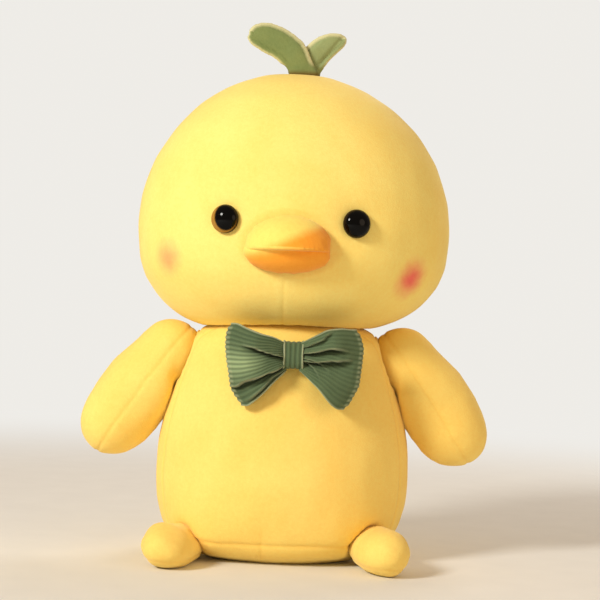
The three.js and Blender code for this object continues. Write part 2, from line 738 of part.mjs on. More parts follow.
// Bow: a flattened loop of corduroy, gathered at the waist, with open upper and lower edges
const knotHalfHeight = bowWaistHalfHeight + fit + knotWall;
const knotBackReach = Math.hypot(knotHalfWidth, knotHalfHeight - knotCornerRadius); // flat back, rocked
const bowForward = bodyFrontAt(bowCentreX, bowHeight - knotBackReach) - fit - knotHalfThickness;
const bowCentre = new THREE.Vector3(bowCentreX, bowForward, bowHeight);
const waistHalfLength = knotHalfWidth + fit;
const wingLength = bowHalfSpan - bowEndFold - waistHalfLength;

function wingThickness(along, bulge) {
  const straight = THREE.MathUtils.lerp(bowWaistHalfThickness, bowEndFold, along);
  const middle = (bowWaistHalfThickness + bowEndFold) / 2;
  return straight + (bulge - middle) * Math.sin(Math.PI * along);
}

// Half of the plan outline, from the front of the waist round one outer end to the back of the waist
function wingPlan(sign, inset) {
  const plan = [];
  const steps = 5;
  const outAt = (along) => sign * (waistHalfLength + wingLength * along);
  for (let step = 0; step <= steps; step++) {
    const along = step / steps;
    plan.push({ x: outAt(along), y: inset - wingThickness(along, bowFrontBulge) });
  }
  const fold = bowEndFold - inset;
  const foldSteps = 4;
  for (let step = 1; step < foldSteps; step++) {
    const angle = (Math.PI * step) / foldSteps;
    plan.push({
      x: sign * (waistHalfLength + wingLength + fold * Math.sin(angle)),
      y: -fold * Math.cos(angle),
    });
  }
  for (let step = steps; step >= 0; step--) {
    const along = step / steps;
    plan.push({ x: outAt(along), y: wingThickness(along, bowBackBulge) - inset });
  }
  return plan;
}

function bowPoint({ x, y }, level) {
  const out = Math.max(0, Math.abs(x) - waistHalfLength) / (bowHalfSpan - waistHalfLength);
  const opened = Math.sin(Math.min(1, out / bowOpenAt) * (Math.PI / 2));
  const cornering = Math.max(0, (out - bowCornerAt) / (1 - bowCornerAt));
  const corner = Math.sqrt(1 - bowCornerDrop * cornering ** 2);
  const halfHeight = (bowWaistHalfHeight + (bowEndHalfHeight - bowWaistHalfHeight) * opened) * corner;
  const pleat = y < 0 ? bowPleat * Math.sin(Math.PI * out) * Math.cos(3 * Math.PI * level) : 0;
  const drop = bowDroop * out ** bowDroopCurve;
  return new THREE.Vector3(x, y + pleat, level * halfHeight - drop).add(bowCentre);
}

function bowLoop() {
  const rows = 7;
  const outline = (inset) => [...wingPlan(1, inset), ...wingPlan(-1, inset).reverse()];
  const layer = (inset) => {
    const rings = [];
    for (let row = 0; row < rows; row++) {
      rings.push(...outline(inset).map((place) => bowPoint(place, (2 * row) / (rows - 1) - 1)));
    }
    return rings;
  };
  const columns = outline(0).length;
  const outside = layer(0);
  const inside = layer(bowWall);
  const points = [...outside, ...inside];
  const shift = outside.length;
  const faces = gridFaces(rows, columns);
  faces.push(...gridFaces(rows, columns, shift).reverse());
  const lastRow = (rows - 1) * columns;
  for (let column = 0; column < columns; column++) {
    const next = (column + 1) % columns;
    faces.push(column, shift + column, shift + next, column, shift + next, next);
    const [a, b] = [lastRow + column, lastRow + next];
    faces.push(a, b, shift + b, a, shift + b, shift + a);
  }
  return solidFrom(geometryFrom(points, faces));
}

function roundedRectangle(path, halfWidth, halfHeight, radius) {
  path.absarc(halfWidth - radius, halfHeight - radius, radius, 0, Math.PI / 2);
  path.absarc(radius - halfWidth, halfHeight - radius, radius, Math.PI / 2, Math.PI);
  path.absarc(radius - halfWidth, radius - halfHeight, radius, Math.PI, Math.PI * 1.5);
  path.absarc(halfWidth - radius, radius - halfHeight, radius, Math.PI * 1.5, Math.PI * 2);
  return path;
}

function knotBand() {
  const shape = roundedRectangle(new THREE.Shape(), knotHalfThickness, knotHalfHeight, knotCornerRadius);
  const bore = roundedRectangle(
    new THREE.Path(), bowWaistHalfThickness + fit, bowWaistHalfHeight + fit, fit);
  shape.holes.push(bore);
  const geometry = new THREE.ExtrudeGeometry(shape, {
    depth: 2 * knotHalfWidth,
    curveSegments: 3,
    bevelEnabled: false,
  });
  geometry.translate(0, 0, -knotHalfWidth);
  geometry.rotateX(Math.PI / 2);
  geometry.rotateZ(Math.PI / 2);
  return solidFrom(geometry.translate(bowCentre.x, bowCentre.y, bowCentre.z));
}

function buildBow() {
  const group = groupAt(bowCentre);
  addPiece(group, 'bow_loop', bowLoop(), corduroyGreen);
  addPiece(group, 'bow_knot_band', knotBand(), corduroyGreen);
  return group;
}

// Assembly
buildBody();
buildNeck();
buildHead();
for (const [name, side] of sides) buildEye(name, side);
buildBill('upper', upperBillRise, upperBillLength, 1);
buildBill('lower', lowerBillDrop, lowerBillLength, -1);

const toy = new THREE.Group();
toy.add(bodyGroup, neckGroup, headGroup);
toy.add(buildLeaf('front_leaf', frontLeafRoot, frontLeafEdges));
toy.add(buildLeaf('back_leaf', backLeafRoot, backLeafEdges));
for (const [name, side] of sides) {
  toy.add(...buildArm(name, side), buildFoot(name, side));
}
toy.add(buildBow());

export default toy;
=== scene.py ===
# A plush chicken that sits on its flat base, sewn from short pile cloth over loose filling. The
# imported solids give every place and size. Lengths are in metres, +Z is up and the toy faces -Y.
import json
import math

import bpy
import numpy as np
from mathutils import Matrix, Vector, noise

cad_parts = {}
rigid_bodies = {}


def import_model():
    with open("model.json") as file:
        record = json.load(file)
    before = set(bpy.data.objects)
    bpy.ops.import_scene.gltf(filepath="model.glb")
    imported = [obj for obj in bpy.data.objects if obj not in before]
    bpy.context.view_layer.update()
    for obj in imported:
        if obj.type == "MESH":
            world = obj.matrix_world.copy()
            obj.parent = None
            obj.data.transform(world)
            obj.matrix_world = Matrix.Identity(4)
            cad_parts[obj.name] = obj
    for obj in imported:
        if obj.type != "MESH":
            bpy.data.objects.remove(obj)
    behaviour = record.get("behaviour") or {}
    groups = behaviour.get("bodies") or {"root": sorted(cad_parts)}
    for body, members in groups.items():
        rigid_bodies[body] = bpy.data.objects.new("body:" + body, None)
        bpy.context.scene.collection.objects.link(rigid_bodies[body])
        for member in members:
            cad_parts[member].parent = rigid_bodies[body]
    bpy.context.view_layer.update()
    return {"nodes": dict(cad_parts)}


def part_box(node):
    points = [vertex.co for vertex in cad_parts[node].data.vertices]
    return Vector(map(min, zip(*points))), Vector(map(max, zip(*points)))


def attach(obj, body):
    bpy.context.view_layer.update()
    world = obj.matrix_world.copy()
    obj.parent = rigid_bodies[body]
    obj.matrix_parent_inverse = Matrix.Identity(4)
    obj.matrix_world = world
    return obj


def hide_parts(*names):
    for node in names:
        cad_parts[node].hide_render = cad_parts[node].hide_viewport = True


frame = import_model()
scene = bpy.context.scene
scene.view_settings.view_transform = "Standard"

# Body: a pear shaped cover of short yellow pile over loose filling, on a flat base panel.
# A front and a back panel meet in side seams ahead of the flanks, and both meet the base panel
# in a seam just above the table. The joined solids are skinned, filled out by cloth and sewn.


def pick(*pieces):
    bpy.ops.object.select_all(action="DESELECT")
    for piece in pieces:
        piece.select_set(True)
    bpy.context.view_layer.objects.active = pieces[0]


def edit_whole(piece, operator, **settings):
    """Runs one edit mode operator on all of a piece."""
    pick(piece)
    bpy.ops.object.mode_set(mode="EDIT")
    bpy.ops.mesh.select_all(action="SELECT")
    operator(**settings)
    bpy.ops.object.mode_set(mode="OBJECT")


def merge_doubles(piece):
    edit_whole(piece, bpy.ops.mesh.remove_doubles, threshold=1e-6)


def apply_modifier(piece, kind, **settings):
    pick(piece)
    modifier = piece.modifiers.new("shaping", kind)
    for name, value in settings.items():
        setattr(modifier, name, value)
    bpy.ops.object.modifier_apply(modifier=modifier.name)


def make_finer(piece):
    apply_modifier(piece, "SUBSURF", levels=1, render_levels=1)


def vertex_values(piece, field):
    flat = np.empty(3 * len(piece.data.vertices))
    piece.data.vertices.foreach_get(field, flat)
    return flat.reshape(-1, 3)


def points_of(piece):
    return vertex_values(piece, "co")


def facings_of(piece):
    return vertex_values(piece, "normal")


def put_points(piece, points):
    piece.data.vertices.foreach_set("co", np.asarray(points, float).ravel())
    piece.data.update()


def rest_on_table(piece):
    points = points_of(piece)
    points[:, 2] = np.maximum(points[:, 2], 0.0)
    put_points(piece, points)


def covered_with(piece, material):
    pick(piece)
    bpy.ops.object.shade_smooth()
    piece.data.materials.append(material)


def lengths_of(vectors):
    return np.linalg.norm(vectors, axis=1)


def above(value, start, over):
    """0 up to start, and then rising to 1 over this length."""
    return np.clip((value - start) / over, 0, 1)


def below(value, start, over):
    """0 down to start, and then rising to 1 over this length."""
    return np.clip((start - value) / over, 0, 1)


def bell(distance, width):
    """1 in the middle, and fading away to both sides."""
    return np.exp(-((distance / width) ** 2))


def everywhere(points):
    return np.ones(len(points))


def crisp_near(*places):
    """Where smoothing works freely. It hardly does within each (centre, radius), where a sewn
    joint keeps its edge."""
    hardly, fading = 0.1, 0.012

    def freely(points):
        share = np.ones(len(points))
        for centre, radius in places:
            away = lengths_of(points - np.array(centre)) - radius
            share = np.minimum(share, np.clip(away / fading, hardly, 1))
        return share

    return freely


def joined_copy(name, nodes):
    """Copies of solids as one mesh with its doubles merged."""
    copies = []
    for node in nodes:
        copy = bpy.data.objects.new(name, frame["nodes"][node].data.copy())
        scene.collection.objects.link(copy)
        copies.append(copy)
    pick(*copies)
    if len(copies) > 1:
        bpy.ops.object.join()
    piece = bpy.context.object
    piece.name = piece.data.name = name
    piece.data.materials.clear()
    merge_doubles(piece)
    return piece


def outer_skin(piece, grain, smoothing, plump=0.0, freely=everywhere):
    """One closed skin of even squares round a joined copy, with nothing left inside it.
    plump makes up for what the smoothing takes off."""
    apply_modifier(piece, "REMESH", mode="VOXEL", voxel_size=grain)
    highest = int(np.argmax(points_of(piece)[:, 2]))
    pick(piece)
    bpy.ops.object.mode_set(mode="EDIT")
    bpy.ops.mesh.select_mode(type="VERT")
    bpy.ops.mesh.select_all(action="DESELECT")
    bpy.ops.object.mode_set(mode="OBJECT")
    piece.data.vertices[highest].select = True
    bpy.ops.object.mode_set(mode="EDIT")
    bpy.ops.mesh.select_linked()
    bpy.ops.mesh.select_all(action="INVERT")
    bpy.ops.mesh.delete(type="VERT")
    bpy.ops.object.mode_set(mode="OBJECT")
    points = points_of(piece)
    share = freely(points)
    put_points(piece, points + facings_of(piece) * (plump * share)[:, None])
    rounded = piece.vertex_groups.new(name="rounded")
    for index, weight in enumerate(share):
        rounded.add([index], float(weight), "REPLACE")
    apply_modifier(piece, "SMOOTH", factor=0.5, iterations=smoothing, vertex_group="rounded")
    piece.vertex_groups.clear()
    return piece


def fill_out(piece, held, reach, pressure=4):
    """Presses the filling out against the cover, held along its seams, by no more than reach."""
    loose, pressing_steps = 0.02, 20
    rest = points_of(piece)
    group = piece.vertex_groups.new(name="held")
    for index in np.nonzero(held > loose)[0]:
        group.add([int(index)], float(min(1, held[index])), "REPLACE")
    pick(piece)
    cloth = piece.modifiers.new("filling", "CLOTH")
    cloth.settings.quality = 5
    cloth.settings.mass = 0.3
    cloth.settings.tension_stiffness = 15
    cloth.settings.compression_stiffness = 15
    cloth.settings.bending_stiffness = 0.5
    cloth.settings.use_pressure = True
    cloth.settings.uniform_pressure_force = pressure
    cloth.settings.effector_weights.gravity = 0
    cloth.settings.vertex_group_mass = "held"
    cloth.collision_settings.use_collision = False
    for step in range(1, pressing_steps + 1):
        scene.frame_set(step)
    bpy.ops.object.modifier_apply(modifier=cloth.name)
    scene.frame_set(1)
    piece.vertex_groups.clear()
    moved = points_of(piece) - rest
    length = lengths_of(moved)[:, None] + 1e-9
    put_points(piece, rest + moved * reach * np.tanh(length / reach) / length)


def lump(piece, size, height, where):
    """Filling that lies unevenly under the cover, in large lumps and fainter small ones."""
    small_size, small_height, elsewhere = 0.45, 0.4, 7
    points = points_of(piece)
    swell = np.array([noise.noise(Vector(p / size)) for p in points])
    swell += small_height * np.array(
        [noise.noise(Vector(p / (small_size * size) + elsewhere)) for p in points])
    put_points(piece, points + facings_of(piece) * (height * swell * where(points))[:, None])


def mark_surface(piece, name, values):
    marks = piece.data.attributes
    attribute = marks.get(name) or marks.new(name, "FLOAT", "POINT")
    attribute.data.foreach_set("value", np.asarray(values, np.float32))


def sew(piece, at, facing, depth, where=everywhere, drift=None, marked=1.0):
    """A seam along a plane. Edges are cut beside it, and the cloth dips into it and puffs up on
    both sides. where gives the seam's strength at each place, and drift bends it aside."""
    at, facing = np.array(at, float), np.array(facing, float)
    facing /= np.linalg.norm(facing)
    drawn_in = 0.0042
    cuts = (-1, -0.5, -0.2, 0, 0.2, 0.5, 1)
    waver_length, waver_width, elsewhere = 0.016, 0.0006, 3
    dip_width, puff_at, puff_width, puff_height = 0.3, 0.9, 0.7, 0.25
    thread_width, barely = 0.25, 0.02

    def wander(points):
        flat = points - np.outer((points - at) @ facing, facing)
        aside = np.array([noise.noise(Vector(p / waver_length + elsewhere)) for p in flat])
        aside = aside * waver_width
        if drift is not None:
            aside = aside + drift(flat)
        return np.outer(aside, facing)

    points = points_of(piece)
    put_points(piece, points - wander(points))
    for offset in cuts:
        pick(piece)
        bpy.ops.object.mode_set(mode="EDIT")
        bpy.ops.mesh.select_all(action="DESELECT")
        bpy.ops.object.mode_set(mode="OBJECT")
        centres = np.empty(3 * len(piece.data.polygons))
        piece.data.polygons.foreach_get("center", centres)
        centres = centres.reshape(-1, 3)
        near = (where(centres) > barely) & (np.abs((centres - at) @ facing) < 3 * drawn_in)
        piece.data.polygons.foreach_set("select", near)
        bpy.ops.object.mode_set(mode="EDIT")
        bpy.ops.mesh.select_mode(type="FACE")
        bpy.ops.mesh.bisect(plane_co=at + facing * offset * drawn_in, plane_no=facing)
        bpy.ops.object.mode_set(mode="OBJECT")
    points = points_of(piece)
    away = np.abs((points - at) @ facing)
    strength = where(points)
    puff = puff_height * bell(away - puff_at * drawn_in, puff_width * drawn_in)
    dip = bell(away, dip_width * drawn_in) - puff
    sunk = facings_of(piece) * (depth * dip * strength)[:, None]
    put_points(piece, points + wander(points) - sunk)
    old = np.zeros(len(points), np.float32)
    if "seam" in piece.data.attributes:
        piece.data.attributes["seam"].data.foreach_get("value", old)
    thread = marked * strength * bell(away, thread_width * drawn_in)
    mark_surface(piece, "seam", np.maximum(old, thread))


def feed(tree, node, sockets):
    """Links or sets each of a node's sockets."""
    for name, value in sockets.items():
        if isinstance(value, bpy.types.NodeSocket):
            tree.links.new(value, node.inputs[name])
        else:
            node.inputs[name].default_value = value


def add_node(tree, kind, sockets=None, **settings):
    made = tree.nodes.new("ShaderNode" + kind)
    for name, value in settings.items():
        setattr(made, name, value)
    feed(tree, made, sockets or {})
    return made


def place_on(tree):
    return add_node(tree, "TexCoord").outputs["Object"]


def marking(tree, name):
    return add_node(tree, "Attribute", attribute_name=name).outputs["Fac"]


def mottling(tree, place, scale, detail, distortion=0.0):
    sockets = {"Vector": place, "Scale": scale, "Detail": detail, "Distortion": distortion}
    return add_node(tree, "TexNoise", sockets).outputs["Fac"]


def rising(tree, value, start, end, low=0.0, high=1.0, curve="LINEAR"):
    sockets = {"Value": value, "From Min": start, "From Max": end, "To Min": low, "To Max": high}
    return add_node(tree, "MapRange", sockets, interpolation_type=curve).outputs["Result"]


def mix_colours(tree, factor, low, high):
    return add_node(tree, "Mix", {0: factor, 6: low, 7: high}, data_type="RGBA").outputs[2]


def calculate(tree, operation, first, second=0.0, third=0.0, clamp=False):
    sockets = {0: first, 1: second, 2: third}
    return add_node(tree, "Math", sockets, operation=operation, use_clamp=clamp).outputs[0]


def written(red, green, blue):
    """A colour as it is seen, given from 0 to 255, turned into the light that shaders use."""
    shares = [value / 255 for value in (red, green, blue)]
    return (*[c / 12.92 if c <= 0.04045 else ((c + 0.055) / 1.055) ** 2.4 for c in shares], 1)


def new_material(name):
    material = bpy.data.materials.new(name)
    material.use_nodes = True
    return material, material.node_tree, material.node_tree.nodes["Principled BSDF"]


# Short pile, woven once and used for every yellow and orange cover and for the felt of the
# leaves: fine fibre ends, small tufts, and a nap that lies lighter and darker in soft patches.
pile = bpy.data.node_groups.new("short_pile", "ShaderNodeTree")
for socket, kind in (("Lit", "Color"), ("Deep", "Color"), ("Seam", "Float")):
    pile.interface.new_socket(socket, in_out="INPUT", socket_type="NodeSocket" + kind)
for socket, kind in (("Colour", "Color"), ("Height", "Float")):
    pile.interface.new_socket(socket, in_out="OUTPUT", socket_type="NodeSocket" + kind)
pile_in, pile_out = pile.nodes.new("NodeGroupInput"), pile.nodes.new("NodeGroupOutput")
place = place_on(pile)
fibre = mottling(pile, place, 1300.0, 2.0)
tuft = mottling(pile, place, 380.0, 3.0)
patch = mottling(pile, place, 24.0, 2.0, distortion=0.5)
pucker = mottling(pile, place, 210.0, 1.0)
nap = rising(pile, patch, 0.3, 0.7)
grain = calculate(pile, "MULTIPLY_ADD", tuft, 0.5, calculate(pile, "MULTIPLY", fibre, 0.5))
strong_grain = calculate(pile, "MULTIPLY", grain, 1.1)
lightness = calculate(pile, "MULTIPLY_ADD", nap, 0.3, strong_grain, clamp=True)
unseamed = calculate(pile, "MULTIPLY_ADD", pile_in.outputs["Seam"], -0.75, 1.0, clamp=True)
shown = calculate(pile, "MULTIPLY", lightness, unseamed)
colour = mix_colours(pile, shown, pile_in.outputs["Deep"], pile_in.outputs["Lit"])
gathered = calculate(pile, "MULTIPLY", pucker, pile_in.outputs["Seam"])
ripple = calculate(pile, "MULTIPLY", gathered, 1.5)
feed(pile, pile_out, {"Colour": colour, "Height": calculate(pile, "ADD", grain, ripple)})


def plush_material(name, lit, deep, tint=None):
    """Pile cloth. tint, given the tree and both colours, returns two that change over the piece."""
    material, tree, shader = new_material(name)
    seam = marking(tree, "seam")
    if tint is not None:
        lit, deep = tint(tree, lit, deep)
    cloth = add_node(tree, "Group", {"Lit": lit, "Deep": deep, "Seam": seam}, node_tree=pile)
    bump = add_node(
        tree, "Bump", {"Strength": 0.35, "Distance": 0.0009, "Height": cloth.outputs["Height"]})
    feed(tree, shader, {
        "Base Color": cloth.outputs["Colour"],
        "Normal": bump.outputs["Normal"],
        "Roughness": 0.92,
        "Specular IOR Level": 0.12,
        "Sheen Weight": 0.25,
        "Sheen Roughness": 0.45,
        "Sheen Tint": (1.0, 0.93, 0.7, 1),
    })
    return material


body_plush = plush_material("yellow_plush", written(255, 227, 126), written(250, 201, 92))
side_seam_y, base_seam_z, seam_hold = -0.030, 0.015, 0.004
shoulder_out, shoulder_height, shoulder_dimple = 0.0828, 0.1407, 0.028
neck_pivot, neck_rim_height, neck_rim_radius = np.array([0, 0, 0.080]), 0.1626, 0.058
head_hollow, shoulder_allowance = 0.0984, 0.0016
foot_seat_top, foot_middle = 0.032, 0.015
right_pressed, left_pressed = 0.34, 0.14
right_apart, left_apart, left_drawn_in = 0.0050, 0.0008, 0.0036


def settled(points):
    """Feet and the body round them, pressed lower and further apart where they meet, more on
    the right foot. The left foot's outer side is drawn in a little."""
    moved = points.copy()
    across, height = points[:, 0], points[:, 2]
    out, right = np.abs(across), across < 0
    in_front = below(points[:, 1], -0.005, 0.02)
    meeting = below(out, 0.090, 0.034) ** 1.5 * above(out, 0.012, 0.028)
    meeting *= in_front
    over_feet = above(height, foot_seat_top, 0.045)
    over_feet = over_feet * over_feet * (3 - 2 * over_feet)
    pressed = np.where(right, right_pressed, left_pressed) * meeting
    pressed *= np.minimum(height, foot_seat_top)
    moved[:, 2] -= pressed * (1 - over_feet)
    apart = np.where(right, right_apart, left_apart) * bell(out - 0.046, 0.014)
    apart *= bell(height - foot_middle, 0.022) * in_front
    moved[:, 0] += np.sign(across) * apart
    outer = above(across, 0.062, 0.030) * below(points[:, 1], -0.035, 0.03)
    moved[:, 0] -= left_drawn_in * outer * (1 - over_feet)
    return moved


body_nodes = ["body_front_panel", "body_back_panel", "base_panel", "body_filling"]
body_joints = crisp_near(
    ((0, 0, neck_rim_height), neck_rim_radius),
    ((shoulder_out, 0, shoulder_height), shoulder_dimple),
    ((-shoulder_out, 0, shoulder_height), shoulder_dimple),
)
body = joined_copy("body_cushion", body_nodes)
outer_skin(body, grain=0.0038, smoothing=10, plump=0.0008, freely=body_joints)
skin = points_of(body)
by_side_seam = bell(skin[:, 1] - side_seam_y, seam_hold)
by_base_seam = bell(skin[:, 2] - base_seam_z, seam_hold)
body_held = np.maximum.reduce([by_side_seam, by_base_seam, 1 - body_joints(skin)])
fill_out(body, body_held, reach=0.0022)
lump(body, size=0.05, height=0.0012, where=body_joints)
# The top stays within the round hollow of the head, with a little more room at the shoulders
skin = settled(points_of(body))
from_pivot = skin - neck_pivot
reach = lengths_of(from_pivot)
room = head_hollow + shoulder_allowance * above(np.abs(skin[:, 0]), 0.052, 0.014)
too_far = np.maximum(0, reach - room) * above(skin[:, 2], 0.136, 0.008)
put_points(body, skin - from_pivot * (too_far / reach)[:, None])
make_finer(body)
sew(body, (0, side_seam_y, 0), (0, 1, 0), depth=0.0006, marked=0.5,
    where=lambda p: above(p[:, 2], 0.012, 0.004))
sew(body, (0, 0, base_seam_z), (0, 0, 1), depth=0.0006, marked=0.45)
sew(body, (-0.012, 0, 0), (1, 0, 0), depth=0.0003, marked=0.3,
    where=lambda p: below(p[:, 2], 0.030, 0.012) * (p[:, 1] < -0.02) * (p[:, 2] > 0.004))
rest_on_table(body)
covered_with(body, body_plush)
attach(body, "body")
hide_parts(*body_nodes)

# Neck: the ring of turned-in cloth where the head is sewn to the body. It lies between the two
# and hardly shows. Its edge is drawn into small even gathers by the thread.


def sewn_ring(name, node, body_name, gathers, seat):
    """A ring of turned-in cloth that lies on a round seat, a little smaller than its solid."""
    drawn_small, drawn_narrow, gather_height = 0.9964, 0.7, 0.0002
    ring = outer_skin(joined_copy(name, [node]), grain=0.0009, smoothing=3)
    spread = (points_of(ring) - seat) * drawn_small
    reach = lengths_of(spread)
    axis = spread.mean(axis=0) / np.linalg.norm(spread.mean(axis=0))
    along = spread @ axis
    aside = spread - np.outer(along, axis)
    opened = np.arctan2(lengths_of(aside), along)
    narrowed = opened.min() + drawn_narrow * (opened - opened.min())
    sideways = aside / lengths_of(aside)[:, None]
    one = np.cross(axis, [0.3, 0.5, 0.8])
    angle = np.arctan2(sideways @ np.cross(axis, one), sideways @ one)
    reach = reach + gather_height * np.sin(gathers * angle)
    turned = axis * np.cos(narrowed)[:, None] + sideways * np.sin(narrowed)[:, None]
    put_points(ring, seat + turned * reach[:, None])
    covered_with(ring, body_plush)
    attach(ring, body_name)
    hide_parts(node)


sewn_ring("neck_ring", "neck_seam", "neck", 46, neck_pivot)

# Head: a wide round cover of yellow pile in two panels that meet over the crown, with a dart from
# the beak to the chin. The filling sags to a soft edge over the neck, the eyes pull shallow
# dimples into the cover, and pink is sprayed on the cheeks.
blush_right = (0.0840, -0.0600, 0.1975)
blush_left = (-0.0830, -0.0600, 0.2060)
mouth_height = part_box("upper_bill")[0].z
beak_half_width, upper_rise, lower_drop = 0.030, 0.0225, 0.017
eye_dome_height = 0.0075


def eye_axis(side):
    """Where a safety eye goes in, and the way it faces, from the eye and its washer."""
    eye_points = points_of(frame["nodes"][f"{side}_eye"])
    back = points_of(frame["nodes"][f"{side}_eye_washer"]).mean(axis=0)
    facing = eye_points.mean(axis=0) - back
    facing /= np.linalg.norm(facing)
    tip = ((eye_points - back) @ facing).max()
    return back + facing * (tip - eye_dome_height), facing


def blushing(tree, lit, deep):
    """Pink sprayed on both cheeks as slanting spots that fade out through the pile."""
    position = place_on(tree)
    blotch = mottling(tree, position, 150.0, 2.0)
    for centre, size, strength, tilt in (
        (blush_right, (0.0118, 0.020, 0.0165), 0.95, 0.5),
        (blush_left, (0.0125, 0.020, 0.0140), 0.5, 0.2),
    ):
        spot = add_node(
            tree, "Mapping",
            {"Vector": position, "Location": centre, "Rotation": (0, tilt, 0), "Scale": size},
            vector_type="TEXTURE",
        )
        distance = add_node(tree, "VectorMath", {0: spot.outputs[0]}, operation="LENGTH")
        inside = calculate(tree, "SUBTRACT", distance.outputs["Value"], 0.17)
        frayed = calculate(tree, "MULTIPLY_ADD", blotch, 0.35, inside)
        fade = rising(tree, frayed, 1.25, 0.0, high=strength, curve="SMOOTHSTEP")
        lit = mix_colours(tree, fade, lit, written(248, 98, 102))
        deep = mix_colours(tree, fade, deep, written(226, 70, 74))
    return lit, deep


head_plush = plush_material(
    "yellow_plush_sprayed", written(255, 234, 136), written(250, 209, 99), blushing)
# The pockets of the eyes are plugged, so that the skin closes over them
head_nodes = ["head_front_panel", "head_back_panel", "head_filling"]
head = joined_copy("head_cushion", head_nodes)
plug_depth = 0.0105
plugs = []
for side in ("left", "right"):
    seat, facing = eye_axis(side)
    bpy.ops.object.select_all(action="DESELECT")
    turn = Vector(facing).to_track_quat("Z", "Y")
    bpy.ops.mesh.primitive_cylinder_add(
        vertices=24, radius=0.0095, depth=0.018,
        location=Vector(seat - facing * plug_depth), rotation=turn.to_euler())
    plugs.append(bpy.context.object)
pick(head, *plugs)
bpy.ops.object.join()
head_joint = crisp_near((neck_pivot, 0.1035))
outer_skin(head, grain=0.0045, smoothing=12, plump=0.0006, freely=head_joint)
skin = points_of(head)
by_crown_seam = bell(skin[:, 1], seam_hold)
fill_out(head, np.maximum(by_crown_seam, 1 - head_joint(skin)), reach=0.0024)
lump(head, size=0.06, height=0.0012, where=head_joint)
make_finer(head)
sew(head, (0, 0, 0), (0, 1, 0), depth=0.0009, where=lambda p: above(p[:, 2], 0.165, 0.01))
sew(head, (-0.003, 0, 0), (1, 0, 0), depth=0.0003, marked=0.25,
    where=lambda p: below(p[:, 2], 0.203, 0.012) * above(p[:, 2], 0.160, 0.004)
    * (p[:, 1] < -0.03))
# Dimples round the eyes, a crease round the root of the beak, and a chin that sags over the neck
eye_dimple_depth, eye_dimple_width = 0.0024, 0.0125
beak_crease_depth, beak_crease_width = 0.0012, 0.09
left_fullness, right_fullness = 1.015, 0.988
chin_sag, chin_slant = 0.0046, 0.0012
hollow_radius = 0.1003
skin = points_of(head)
outward = facings_of(head)
for side in ("left", "right"):
    seat, facing = eye_axis(side)
    aside = skin - seat
    aside -= np.outer(aside @ facing, facing)
    dimple = bell(lengths_of(aside), eye_dimple_width) * (skin[:, 1] < 0)
    skin -= np.outer(eye_dimple_depth * dimple, facing)
height = skin[:, 2] - mouth_height
beak_rise = height / np.where(height > 0, upper_rise, lower_drop)
beak_reach = np.hypot(skin[:, 0] / beak_half_width, beak_rise)
crease = bell(np.maximum(beak_reach - 1, 0), beak_crease_width) * (skin[:, 1] < -0.05)
skin -= outward * (beak_crease_depth * crease)[:, None]
skin[:, 0] *= np.where(skin[:, 0] > 0, left_fullness, right_fullness)
underside = below(skin[:, 2], 0.190, 0.024) ** 1.3
skin[:, 2] -= (chin_sag - chin_slant * np.clip(skin[:, 0] / 0.06, -1, 1)) * underside
from_pivot = skin - neck_pivot
reach = lengths_of(from_pivot)
in_hollow = reach < hollow_radius
onto_hollow = (hollow_radius / reach[in_hollow])[:, None]
skin[in_hollow] = neck_pivot + from_pivot[in_hollow] * onto_hollow
put_points(head, skin)
covered_with(head, head_plush)
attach(head, "head")
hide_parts(*head_nodes)

# Eyes: glossy black domes with a very dark brown edge, on a ribbed post that runs through the
# cover into a white locking washer. They are pressed into their dimples, and the right one has a
# painted gold reflection of the lit yellow cloth at its edge.
eye_radius, dome_roundness, back_roundness = 0.0096, 0.76, 0.16
rib_count, first_rib_depth, rib_spacing = 4, 0.0024, 0.0030


def eye_gloss():
    material, tree, shader = new_material("black_gloss")
    edge = marking(tree, "edge")
    swirl = mottling(tree, place_on(tree), 700.0, 2.0)
    rim = rising(tree, edge, 0.86, 1.0)
    brown = mix_colours(tree, swirl, written(18, 11, 8), written(34, 20, 12))
    dark = mix_colours(tree, rim, written(4, 4, 4), brown)
    # The gold is a painted reflection, not a colour of the eye.
    feed(tree, shader, {
        "Base Color": mix_colours(tree, marking(tree, "painted_reflection"), dark, written(178, 130, 52)),
        "Roughness": rising(tree, swirl, 0.0, 1.0, low=0.04, high=0.08),
        "IOR": 1.45,
        "Specular IOR Level": 0.09,
        "Coat Weight": 0.12,
        "Coat Roughness": 0.03,
    })
    return material


eye_black = eye_gloss()
for side in ("left", "right"):
    seat, facing = eye_axis(side)
    bpy.ops.object.select_all(action="DESELECT")
    bpy.ops.mesh.primitive_uv_sphere_add(segments=56, ring_count=32, radius=eye_radius)
    eye = bpy.context.object
    dome = points_of(eye)
    dome[:, 2] *= np.where(dome[:, 2] > 0, dome_roundness, back_roundness)
    put_points(eye, dome)
    parts = [eye]
    for rib in range(rib_count):
        bpy.ops.object.select_all(action="DESELECT")
        bpy.ops.mesh.primitive_cone_add(
            vertices=20, radius1=0.0024, radius2=0.0029, depth=0.0031,
            location=(0, 0, -first_rib_depth - rib_spacing * rib))
        parts.append(bpy.context.object)
    pick(*parts)
    bpy.ops.object.join()
    eye.name = eye.data.name = f"{side}_eye_dome"
    radial = points_of(eye)
    from_middle = np.hypot(radial[:, 0], radial[:, 1]) / eye_radius
    mark_surface(eye, "edge", from_middle)
    turn = Vector(facing).to_track_quat("Z", "Y").to_matrix().to_4x4()
    eye.data.transform(Matrix.Translation(Vector(seat - facing * 0.0006)) @ turn)
    # The right eye's painted reflection: a gold crescent round the edge of its dome.
    if side == "right":
        placed = points_of(eye) - seat
        across, up = (placed[:, 0] - 0.0009) / 0.0072, (placed[:, 2] - 0.0011) / 0.0086
        in_rim = below(from_middle, 0.975, 0.03)
        mark_surface(eye, "painted_reflection", 0.9 * above(np.hypot(across, up), 1, 0.08) * in_rim)
    covered_with(eye, eye_black)
    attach(eye, "head")
    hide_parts(f"{side}_eye")

